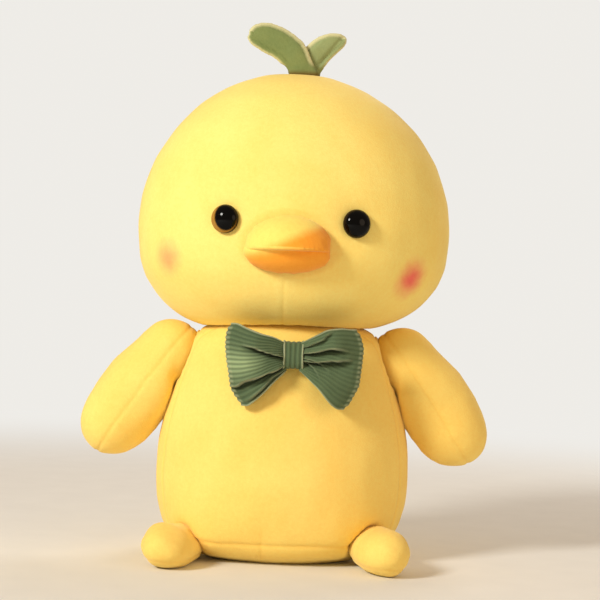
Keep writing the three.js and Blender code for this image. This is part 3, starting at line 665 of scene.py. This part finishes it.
washer_plastic, washer_tree, washer_shader = new_material("washer_plastic")
washer_grain = mottling(washer_tree, place_on(washer_tree), 900.0, 3.0)
washer_bump = add_node(
    washer_tree, "Bump", {"Strength": 0.2, "Distance": 0.0002, "Height": washer_grain})
feed(washer_tree, washer_shader, {
    "Base Color": mix_colours(
        washer_tree, washer_grain, written(226, 223, 214), written(241, 239, 232)),
    "Normal": washer_bump.outputs["Normal"],
    "Roughness": 0.5,
})
for side in ("left", "right"):
    washer = frame["nodes"][f"{side}_eye_washer"]
    washer.data.materials.clear()
    washer.data.materials.append(washer_plastic)

# Beak: two soft bills of orange pile, sewn round their roots to the face and parted by the mouth.
# A painted highlight makes the pile paler where the light falls on it, high on the upper bill and
# along the lip of the lower one, and more so towards the toy's right.


def beak_orange(tree, lit, deep):
    # Painted highlight: the pile is mixed towards pale yellow above the mouth on the toy's right
    # and along the lower lip, with a noisy edge.
    position = place_on(tree)
    split = add_node(tree, "SeparateXYZ", {0: position})
    to_left, up = split.outputs["X"], split.outputs["Z"]
    wear_and_highlight = mottling(tree, position, 60.0, 2.0)
    over_mouth = calculate(tree, "SUBTRACT", up, mouth_height)
    upper = rising(tree, over_mouth, -0.0004, 0.0004)
    on_upper = calculate(tree, "MULTIPLY_ADD", to_left, 0.43, 0.0039)
    on_upper = calculate(tree, "MULTIPLY_ADD", over_mouth, -0.90, on_upper)
    on_lower = calculate(tree, "MULTIPLY_ADD", to_left, 0.166, -0.0016)
    on_lower = calculate(tree, "SUBTRACT", on_lower, over_mouth)
    between = calculate(tree, "SUBTRACT", on_upper, on_lower)
    depth = calculate(tree, "MULTIPLY_ADD", upper, between, on_lower)
    uneven = calculate(tree, "MULTIPLY_ADD", wear_and_highlight, 0.003, depth)
    fade = rising(tree, uneven, 0.0052, -0.0034, curve="SMOOTHSTEP")
    paler = mix_colours(tree, fade, lit, written(255, 234, 124))
    return paler, mix_colours(tree, fade, deep, written(251, 210, 96))


beak_plush = plush_material(
    "orange_plush", written(255, 176, 62), written(247, 150, 40), beak_orange)
bills_overlap, blunt_from, blunt_over = 0.0023, 0.0180, 0.0098
mouth_fullness, lip_forward, lower_spread, lower_slant = 0.0013, 0.0009, 0.06, 0.12
left_taper, right_width = 0.07, 0.985


def bill_freely(points):
    """The bills are smoothed freely, but hardly along the mouth."""
    return np.clip((np.abs(points[:, 2] - mouth_height) - 0.001) / 0.004, 0.05, 1)


for name in ("upper_bill", "lower_bill"):
    bill_nodes = [name, f"{name}_filling"]
    bill = joined_copy(f"{name}_cushion", bill_nodes)
    outer_skin(bill, grain=0.0015, smoothing=7, plump=0.0002, freely=bill_freely)
    skin = points_of(bill)
    by_root = above(skin[:, 1], -0.094, 0.004)
    fill_out(bill, np.maximum(by_root, 1 - bill_freely(skin)), reach=0.0010, pressure=6)
    make_finer(bill)
    skin = points_of(bill)
    over_mouth = skin[:, 2] - mouth_height
    to_right = below(skin[:, 0], 0.008, 0.022)
    to_front = below(skin[:, 1], -0.090, 0.008)
    mouth_puff = mouth_fullness * (1 - to_right) * to_front * bell(over_mouth, 0.0022)
    skin[:, :2] += facings_of(bill)[:, :2] * mouth_puff[:, None]
    skin[:, 2] -= np.sign(over_mouth) * bills_overlap * bell(over_mouth, 0.0027)
    if name == "lower_bill":
        lip = bell(over_mouth + 0.0028, 0.0020)
        skin[:, 1] -= lip_forward * to_right * to_front * lip
        skin[:, 0] *= 1 + lower_spread * below(over_mouth, 0, 0.012)
        skin[:, 0] += lower_slant * np.minimum(over_mouth, 0)
    rounded_end = blunt_from + blunt_over * np.tanh((skin[:, 0] - blunt_from) / blunt_over)
    near_mouth = bell(over_mouth, np.where(over_mouth > 0, 0.0065, 0.0100))
    skin[:, 0] += (skin[:, 0] > blunt_from) * near_mouth * (rounded_end - skin[:, 0])
    left_width = 1 - left_taper * above(over_mouth, 0, 0.012)
    skin[:, 0] *= np.where(skin[:, 0] > 0, left_width, right_width)
    put_points(bill, skin)
    covered_with(bill, beak_plush)
    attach(bill, "head")
    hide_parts(*bill_nodes)

# Sprout: two thin padded leaves of green felt, each cut as two layers and stitched together just
# inside its edge, with a broad root sewn along the crown seam. The back leaf is folded up its
# middle. The pale cut edge shows most along the top, partly as a painted highlight where it faces
# up, and painted shade darkens the roots to brown.
leaf_root_top = 0.3455
stitch_inset, stitch_length, stitch_depth = 0.0030, 0.0024, 0.0007
fold_depth, fold_turn = 0.0010, 0.0014


def leaf_green(tree, lit, deep):
    position = place_on(tree)
    up = add_node(tree, "SeparateXYZ", {0: position}).outputs["Z"]
    # Painted shade: the felt darkens to brown at the root, where the leaves meet the head.
    root = rising(tree, up, leaf_root_top, 0.3400, curve="SMOOTHSTEP")
    edge = marking(tree, "edge")
    yellowed = rising(tree, mottling(tree, position, 90.0, 3.0), 0.35, 0.75, high=0.4)
    lit = mix_colours(tree, yellowed, lit, written(150, 154, 92))
    lit = mix_colours(tree, edge, lit, written(220, 216, 168))
    deep = mix_colours(tree, edge, deep, written(196, 192, 140))
    lit = mix_colours(tree, root, lit, written(112, 90, 44))
    return lit, mix_colours(tree, root, deep, written(82, 62, 28))


leaf_felts = {
    "front_leaf": plush_material(
        "green_felt_front", written(130, 145, 92), written(103, 118, 68), leaf_green),
    "back_leaf": plush_material(
        "green_felt_back", written(156, 170, 120), written(126, 140, 92), leaf_green),
}
for name in ("front_leaf", "back_leaf"):
    leaf = joined_copy(f"{name}_blade", [name])
    outer_skin(leaf, grain=0.0012, smoothing=10, plump=0.0007)
    skin = points_of(leaf)
    thickness_middle = (skin[:, 1].min() + skin[:, 1].max()) / 2
    by_root = below(skin[:, 2], leaf_root_top, 0.003)
    by_edge = bell(skin[:, 1] - thickness_middle, 0.0006)
    fill_out(leaf, np.maximum(by_root, by_edge), reach=0.0007, pressure=5)
    make_finer(leaf)
    skin = points_of(leaf)
    facing = facings_of(leaf)
    places = skin[:, [0, 2]]
    rim = np.abs(facing[:, 1]) < 0.25
    rim_places, rim_up = places[rim], facing[rim][:, 2]
    nearest = np.array([np.argmin(((rim_places - p) ** 2).sum(axis=1)) for p in places])
    from_rim = lengths_of(rim_places[nearest] - places)
    # The pale cut edge is partly the felt's own and partly a painted highlight, wider where the rim
    # faces up into the light.
    pale_width = np.where(rim_up[nearest] > 0.15, 0.0026, 0.0010)
    above_root = above(skin[:, 2], 0.3465, 0.004)
    stitch = bell(from_rim - stitch_inset, 0.0007) * above_root
    pucker = 0.6 + 0.4 * np.sin((skin[:, 0] + skin[:, 2]) * 2 * np.pi / stitch_length)
    skin -= facing * (stitch_depth * stitch * pucker)[:, None]
    if name == "front_leaf":
        lower_edge = np.clip(1 - from_rim / 0.007, 0, 1) * (rim_up[nearest] < -0.1) * above_root
        skin += np.outer(lower_edge, (-0.0011, 0, -0.0015))
    if name == "back_leaf":
        foot, tip = np.array([0.0105, 0.3440]), np.array([0.0290, 0.3665])
        run = (tip - foot) / np.linalg.norm(tip - foot)
        aside = (skin[:, 0] - foot[0]) * run[1] - (skin[:, 2] - foot[1]) * run[0]
        crease = bell(aside, 0.0016) * above_root
        turned_up = above(np.abs(aside), 0, 0.009) ** 1.5 * above_root
        skin[:, 1] += fold_depth * crease * (facing[:, 1] < 0) - fold_turn * turned_up
    put_points(leaf, skin)
    mark_surface(leaf, "edge", np.clip(1.4 - from_rim / pale_width, 0, 1) * above_root)
    mark_surface(leaf, "seam", 0.7 * stitch * pucker)
    covered_with(leaf, leaf_felts[name])
    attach(leaf, name)
    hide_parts(name)

# Arms: stuffed sausages of yellow pile, each an inner and an outer panel sewn down the middle of
# its front and back, on a round shoulder that sits in a dimple of the body.
arm_out, arm_drop, arm_length = 0.038, 0.050, 0.0628
shoulder_ball, middle_fullness, tip_slimness = 0.0234, 0.0017, 0.0022
chest_lean, seam_drop = 0.0052, 0.0028
for side, sign in (("left", 1), ("right", -1)):
    arm_nodes = [f"{side}_arm_outer_panel", f"{side}_arm_inner_panel", f"{side}_arm_filling"]
    arm_seat = np.array([sign * shoulder_out, 0, shoulder_height])
    arm_along = np.array([sign * arm_out, 0, -arm_drop]) / arm_length
    arm_across = np.array([sign * arm_drop, 0, arm_out]) / arm_length
    sewn_ring(f"{side}_shoulder_ring", f"{side}_shoulder_seam", f"{side}_shoulder", 26, arm_seat)
    arm_joint = crisp_near((arm_seat, 0.024))
    arm = joined_copy(f"{side}_arm_cushion", arm_nodes)
    outer_skin(arm, grain=0.0032, smoothing=9, plump=0.0014, freely=arm_joint)
    skin = points_of(arm)
    by_seam = bell((skin - arm_seat) @ arm_across, 0.0035)
    fill_out(arm, np.maximum(by_seam, 1 - arm_joint(skin)), reach=0.0020)
    lump(arm, size=0.03, height=0.0010, where=arm_joint)

    # A round shoulder, a fuller middle that leans on the chest in front, and a slimmer tip
    from_seat = points_of(arm) - arm_seat
    in_shoulder = below(from_seat @ arm_along, 0, 0.010)
    rounder = 1 + in_shoulder * (shoulder_ball / lengths_of(from_seat) - 1)
    skin = arm_seat + from_seat * rounder[:, None]
    down = (skin - arm_seat) @ arm_along / arm_length
    from_axis = skin - arm_seat - np.outer(arm_length * np.clip(down, 0, 1), arm_along)
    fuller = middle_fullness * bell(down - 0.45, 0.28) - tip_slimness * above(down, 0.75, 0.4)
    outward = from_axis / lengths_of(from_axis)[:, None]
    to_chest = np.array([-0.5 * sign, -0.87, 0])
    facing_chest = np.clip(outward @ to_chest, 0, 1) ** 2.5
    hugging = chest_lean * facing_chest * bell(down - 0.36, 0.28)
    put_points(arm, skin + outward * fuller[:, None] + np.outer(hugging, to_chest))
    make_finer(arm)

    def seam_sag(flat, seat=arm_seat, along=arm_along):
        return -seam_drop * np.clip((flat - seat) @ along / arm_length, 0, 1.4) ** 1.5

    sew(arm, arm_seat, arm_across, depth=0.0005, drift=seam_sag, marked=0.35)
    covered_with(arm, body_plush)
    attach(arm, f"{side}_arm")
    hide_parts(*arm_nodes)

# Feet: short stuffed toe ends of yellow pile on a flat sole, sewn to the lower front of the body.
# The upper meets the sole in a seam just above the table.
sole_seam_z, sole_hold_z = 0.006, 0.008
for side in ("left", "right"):
    foot_nodes = [f"{side}_foot_upper", f"{side}_foot_sole", f"{side}_foot_filling"]
    foot = joined_copy(f"{side}_foot_cushion", foot_nodes)
    outer_skin(foot, grain=0.0030, smoothing=8, plump=0.0010)
    fill_out(foot, bell(points_of(foot)[:, 2] - sole_hold_z, 0.003), reach=0.0015)
    lump(foot, size=0.02, height=0.0011, where=everywhere)
    put_points(foot, settled(points_of(foot)))
    make_finer(foot)
    sew(foot, (0, 0, sole_seam_z), (0, 0, 1), depth=0.0004, marked=0.35)
    rest_on_table(foot)
    covered_with(foot, body_plush)
    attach(foot, f"{side}_foot")
    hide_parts(*foot_nodes)

# Bow: one loop of green corduroy, gathered at the waist so that its wales fan out to the folded
# ends, with open upper and lower edges. A narrow band of the same cloth binds the waist.
bow_low, bow_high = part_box("bow_knot_band")
bow_centre = np.array([(low + high) / 2 for low, high in zip(bow_low, bow_high)])
wale_count = 17


def corduroy_material():
    """Velvety wales with dark grooves between them, paler at the cut hems and on the wales round
    the folded ends, with painted highlights along the pleat folds and across one wing, and
    painted shade under the pleats.
    """
    material, tree, shader = new_material("green_corduroy")
    position = place_on(tree)
    fuzz = mottling(tree, position, 1500.0, 2.0)
    wear_and_highlight = mottling(tree, position, 120.0, 3.0)
    ridge = calculate(tree, "MULTIPLY_ADD", marking(tree, "wale"), 0.7, -0.2)
    height = calculate(tree, "MULTIPLY_ADD", fuzz, 0.5, ridge, clamp=True)
    cloth = mix_colours(tree, height, written(66, 84, 60), written(95, 114, 82))
    rubbed = calculate(tree, "MULTIPLY", wear_and_highlight, 0.3)
    cloth = mix_colours(tree, rubbed, cloth, written(114, 132, 96))
    # Painted highlight across the lit middle of one wing.
    cloth = mix_colours(tree, marking(tree, "painted_highlight"), cloth, written(156, 176, 130))
    # Painted shade where the cloth folds under a pleat.
    cloth = mix_colours(tree, marking(tree, "painted_pleat_shade"), cloth, written(40, 50, 34))
    bump = add_node(tree, "Bump", {"Strength": 0.5, "Distance": 0.0004, "Height": fuzz})
    feed(tree, shader, {
        # Paler hems, with a painted highlight along the fold edges.
        "Base Color": mix_colours(tree, marking(tree, "hems_and_fold_highlights"), cloth, written(176, 182, 146)),
        "Normal": bump.outputs["Normal"],
        "Roughness": 0.9,
        "Specular IOR Level": 0.15,
        "Sheen Weight": 0.3,
        "Sheen Roughness": 0.4,
        "Sheen Tint": (0.85, 0.95, 0.75, 1),
    })
    return material


corduroy = corduroy_material()


def along_route(route, share):
    """A value read off a short list of (share, value) turning points, with its corners rounded."""
    at, value = zip(*route)
    shifts = np.linspace(-0.07, 0.07, 7)
    return np.mean([np.interp(share + shift, at, value) for shift in shifts], axis=0)


# Each wing in turning points from the waist to the folded end: the top and bottom edges, how far
# the fold reaches at each level from -1 to 1, and the pleats, each as the route of its level, its
# depth, its width and how far out it runs. Then the height of the wales and the room for the chin.
wings = {
    -1: {
        "top": [(0, 0.0074), (0.27, 0.0116), (0.50, 0.0132), (0.78, 0.0167), (1, 0.0203)],
        "bottom": [(0, -0.0100), (0.30, -0.0174), (0.57, -0.0254), (0.86, -0.0325), (1, -0.0352)],
        "reach": [(-1, 0.0292), (-0.81, 0.0338), (-0.59, 0.0376), (-0.25, 0.0392), (0.12, 0.0412),
                  (0.42, 0.0421), (0.74, 0.0418), (0.92, 0.0402), (1, 0.0375)],
        "pleats": [
            ([(0, -0.02), (0.10, 0.06), (0.29, 0.22), (0.53, 0.46), (0.84, 0.54), (1, 0.50)],
             0.0050, 0.10, 0.66),
            ([(0, -0.60), (0.21, -0.66), (0.45, -0.54), (0.82, -0.48), (1, -0.56)],
             0.0046, 0.11, 1.0),
            ([(0, -0.90), (0.28, -0.84), (0.6, -0.90), (1, -0.95)], 0.0022, 0.07, 0.85),
        ],
        "relief": 0.00072,
        "chin_room": 0.0050,
    },
    1: {
        "top": [(0, 0.0080), (0.33, 0.0140), (0.52, 0.0177), (0.81, 0.0191), (1, 0.0186)],
        "bottom": [(0, -0.0098), (0.25, -0.0157), (0.50, -0.0219), (0.78, -0.0312),
                   (0.95, -0.0348), (1, -0.0350)],
        "reach": [(-1, 0.0305), (-0.9, 0.0346), (-0.41, 0.0412), (0.12, 0.0426), (0.53, 0.0434),
                  (0.88, 0.0405), (1, 0.0372)],
        "pleats": [
            ([(0, 0.60), (0.12, 0.64), (0.41, 0.74), (0.53, 0.89), (1, 1.0)], 0.0024, 0.08, 0.5),
            ([(0, 0.20), (0.40, 0.33), (0.58, 0.40), (0.71, 0.42), (1, 0.37)],
             0.0046, 0.10, 0.70),
            ([(0, -0.30), (0.25, -0.19), (0.58, 0.01), (0.87, 0.19), (1, 0.22)],
             0.0040, 0.13, 0.80),
            ([(0, -0.20), (0.24, -0.42), (0.36, -0.62), (0.5, -0.9), (1, -1.3)],
             0.0024, 0.08, 0.30),
            ([(0, -0.05), (0.30, -0.14), (0.50, -0.34), (1, -0.75)], 0.0022, 0.09, 0.42),
        ],
        "relief": 0.00050,
        "chin_room": 0.0030,
    },
}
waist, fold = 0.0070, 0.0040
stand_off, belly, end_swell, sway_width = 0.0028, 0.0066, 0.0012, 0.0011
front_steps, fold_steps, back_steps = 46, 8, 22
level_steps = wale_count * 6


def wales_at(level, count):
    """The round backs of the wales over a level from -1 to 1, from 0 in a groove to 1 on top."""
    return 0.5 + 0.5 * np.cos(2 * np.pi * (level + 1) / 2 * count)


def wing_mesh(sign):
    """A loop of cloth from the waist round its outer end and back, with wales along its length."""
    plan = wings[sign]
    columns = front_steps + fold_steps + back_steps
    bpy.ops.object.select_all(action="DESELECT")
    bpy.ops.mesh.primitive_grid_add(x_subdivisions=columns, y_subdivisions=level_steps, size=1)
    wing = bpy.context.object
    flat = points_of(wing)
    run = np.rint((flat[:, 0] + 0.5) * columns)
    level = flat[:, 1] * 2
    front = run <= front_steps
    back = run >= front_steps + fold_steps
    bend = (~front) & (~back)
    share = np.where(front, run / front_steps, np.where(back, (columns - run) / back_steps, 1.0))
    turn = np.clip((run - front_steps) / fold_steps, 0, 1) * np.pi
    on_front = np.where(front, 1.0, np.where(bend, 0.5 + 0.5 * np.cos(turn), 0.0))

    # The bare loop: its edges, its reach, and how far it stands open before and behind
    top = along_route(plan["top"], share)
    bottom = along_route(plan["bottom"], share)
    height = bottom + (top - bottom) * (level + 1) / 2
    out = waist * 0.6 + (along_route(plan["reach"], level) - waist * 0.6) * share
    out = np.where(bend, out + 0.9 * fold * np.sin(turn), out)
    half = stand_off + belly * np.sin(np.pi * share) ** 0.8 + end_swell * share
    forward = np.where(front, -half, np.where(back, half * 0.7, 0))
    forward = np.where(bend, -fold * np.cos(turn), forward)

    # Each pleat lifts the cloth over a sharp fold and tucks it in beneath. Painted shade lies where
    # the cloth folds under, and a painted highlight along the fold's edge.
    fold_edge, painted_pleat_shade = np.zeros(len(flat)), np.zeros(len(flat))
    for route, depth, width, until in plan["pleats"]:
        away = level - along_route(route, share)
        over = np.where(away > 0, np.exp(-away / (3 * width)), np.exp(away / (2.2 * width)))
        fade = below(share, until + 0.15, 0.25) * above(share, 0, 0.15)
        forward -= on_front * depth * over * np.tanh(away / 0.02) * fade
        lit_edge = on_front * fade * bell(away - 0.02, 0.03) * depth / 0.004
        fold_edge = np.maximum(fold_edge, lit_edge)
        beneath = np.where(away < 0, bell(away, 1.3 * width), 0)
        painted_pleat_shade = np.maximum(painted_pleat_shade, on_front * fade * beneath * depth / 0.005)
    sway = np.sin(3.1 * level + 1.3 * sign) * sway_width * np.sin(np.pi * share)
    forward += sway - plan["chin_room"] * share * above(level, 0.35, 0.65)

    # The faces are turned outwards before the wales rise from them
    points = np.stack([sign * out, forward, height], axis=1) + bow_centre
    put_points(wing, points)
    edit_whole(wing, bpy.ops.mesh.normals_make_consistent, inside=False)
    if facings_of(wing)[front & (share > 0.3) & (share < 0.7)][:, 1].mean() > 0:
        edit_whole(wing, bpy.ops.mesh.flip_normals)
    wale = wales_at(level, wale_count)
    relief = plan["relief"] * (0.3 + 0.7 * np.clip(share * 2, 0, 1))
    put_points(wing, points + facings_of(wing) * (relief * (wale ** 0.6 - 0.5))[:, None])
    mark_surface(wing, "wale", wale if sign < 0 else 0.62 + 0.6 * (wale - 0.5))
    # Painted shade beneath each pleat's fold.
    mark_surface(wing, "painted_pleat_shade", np.clip(painted_pleat_shade, 0, 0.9))
    # Painted highlight: the middle of this wing's front is painted paler, most on the wale tops,
    # where the light falls across it.
    if sign < 0:
        bright = bell(level - 0.02, 0.34) * above(share, 0.35, 0.4)
        wear_and_highlight = on_front * bright * (0.35 + 0.65 * wale) * (1 - painted_pleat_shade)
        mark_surface(wing, "painted_highlight", wear_and_highlight)
    # Paler cut hems, a painted highlight along each fold edge, and paler wale tops round the folded
    # ends.
    at_hem = above(np.abs(level), 0.965, 0.03) * 0.8
    mark_surface(wing, "hems_and_fold_highlights", np.maximum.reduce([at_hem, 0.5 * fold_edge, 0.45 * bend * wale]))
    return wing


left_wing, right_wing = wing_mesh(1), wing_mesh(-1)
pick(left_wing, right_wing)
bpy.ops.object.join()
bow = left_wing
bow.name = bow.data.name = "bow_wings"
apply_modifier(bow, "SOLIDIFY", thickness=0.0011, offset=-1)
covered_with(bow, corduroy)
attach(bow, "bow")
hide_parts("bow_loop")

# Knot band: a strip of the same corduroy with its wales upright, folded round the gathered waist
# of the bow and pulled in until its edges curl.
band_half_width, band_half_height, band_half_depth = 0.0066, 0.0094, 0.0068
band_wales, band_roundness, band_relief = 4, 2.6, 0.0006
bpy.ops.object.select_all(action="DESELECT")
bpy.ops.mesh.primitive_grid_add(x_subdivisions=band_wales * 8, y_subdivisions=72, size=1)
knot = bpy.context.object
knot.name = knot.data.name = "bow_knot"
flat = points_of(knot)
across = flat[:, 0] * 2
around = (flat[:, 1] + 0.5) * 2 * np.pi
corners = np.abs(np.cos(around)) ** band_roundness + np.abs(np.sin(around)) ** band_roundness
reach = corners ** (-1 / band_roundness)
edge = 1 - 0.05 * np.cos(np.pi * across / 2) + 0.04 * np.abs(across) ** 6
band = np.stack([
    across * band_half_width * (0.93 + 0.07 * np.abs(np.sin(around))),
    -np.cos(around) * reach * band_half_depth * edge,
    np.sin(around) * reach * band_half_height * edge,
], axis=1)
wale = wales_at(across, band_wales)
inward = np.stack([np.zeros(len(flat)), np.cos(around), -np.sin(around)], axis=1)
put_points(knot, band - inward * (band_relief * (wale ** 0.6 - 0.5))[:, None] + bow_centre)
mark_surface(knot, "wale", wale)
mark_surface(knot, "hems_and_fold_highlights", above(np.abs(across), 0.86, 0.08) * 0.8)
merge_doubles(knot)
edit_whole(knot, bpy.ops.mesh.normals_make_consistent, inside=False)
apply_modifier(knot, "SOLIDIFY", thickness=0.0012, offset=-1)
covered_with(knot, corduroy)
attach(knot, "bow")
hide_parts("bow_knot_band")

# Floor: a wide pale sheet of softly mottled paper that takes the toy's shadow. Far from the toy it
# fades into the plain surround.
surround_colour = (0.86, 0.84, 0.80, 1)


def seen_directly(tree):
    """The rays that show a background: straight from the camera or through glass."""
    rays = add_node(tree, "LightPath").outputs
    return calculate(tree, "MAXIMUM", rays["Is Camera Ray"], rays["Is Transmission Ray"])


bpy.ops.object.select_all(action="DESELECT")
bpy.ops.mesh.primitive_plane_add(size=8, location=(0, 0, 0))
floor = bpy.context.object
floor.name = "floor"
floor_paper, paper_tree, paper_shader = new_material("pale_paper")
paper_place = place_on(paper_tree)
paper_grain = mottling(paper_tree, paper_place, 30.0, 3.0)
feed(paper_tree, paper_shader, {
    "Base Color": mix_colours(
        paper_tree, paper_grain, written(229, 229, 226), written(236, 236, 233)),
    "Roughness": 0.9,
})
from_toy = add_node(paper_tree, "VectorMath", {0: paper_place}, operation="LENGTH")
far_off = rising(paper_tree, from_toy.outputs["Value"], 0.35, 1.3, curve="SMOOTHERSTEP")
paler = calculate(paper_tree, "MULTIPLY", far_off, seen_directly(paper_tree))
glow = add_node(paper_tree, "Emission", {"Color": surround_colour, "Strength": 1.0})
fading = add_node(
    paper_tree, "MixShader", {0: paler, 1: paper_shader.outputs[0], 2: glow.outputs[0]})
feed(paper_tree, paper_tree.nodes["Material Output"], {"Surface": fading.outputs[0]})
floor.data.materials.append(floor_paper)

# Light and camera: a soft key lamp from the toy's upper right front, a weak warm fill from its
# left and a lamp behind, in a warm surround that looks pale. The camera stands 1.15 m in front.
world = bpy.data.worlds.new("surround")
scene.world = world
world.use_nodes = True
sky = world.node_tree
ground = sky.nodes["Background"]
feed(sky, ground, {"Color": (1.0, 0.79, 0.60, 1), "Strength": 0.42})
plain = add_node(sky, "Background", {"Color": surround_colour, "Strength": 1.0})
both = add_node(
    sky, "MixShader", {0: seen_directly(sky), 1: ground.outputs[0], 2: plain.outputs[0]})
feed(sky, sky.nodes["World Output"], {"Surface": both.outputs[0]})


def soft_lamp(name, place, aim, size, power, colour):
    data = bpy.data.lights.new(name, "AREA")
    data.shape = "DISK"
    data.size = size
    data.energy = power
    data.color = colour
    lamp = bpy.data.objects.new(name, data)
    scene.collection.objects.link(lamp)
    lamp.location = place
    lamp.rotation_euler = (Vector(aim) - Vector(place)).to_track_quat("-Z", "Y").to_euler()


soft_lamp("key", (-1.25, -1.35, 1.10), (0, 0, 0.18), 0.5, 32, (1.0, 0.97, 0.90))
soft_lamp("fill", (1.5, -1.2, 0.55), (0, 0, 0.18), 1.2, 6, (1.0, 0.77, 0.54))
soft_lamp("back", (0.6, 1.3, 1.2), (0, 0, 0.22), 0.8, 9, (1.0, 0.95, 0.88))

camera_data = bpy.data.cameras.new("camera")
camera_data.lens = 96.6
camera_data.sensor_width = 36
camera = bpy.data.objects.new("camera", camera_data)
scene.collection.objects.link(camera)
camera.location = (0.008, -1.150, 0.181)
camera.rotation_euler = (math.radians(90), math.radians(-2.2), 0)
scene.camera = camera
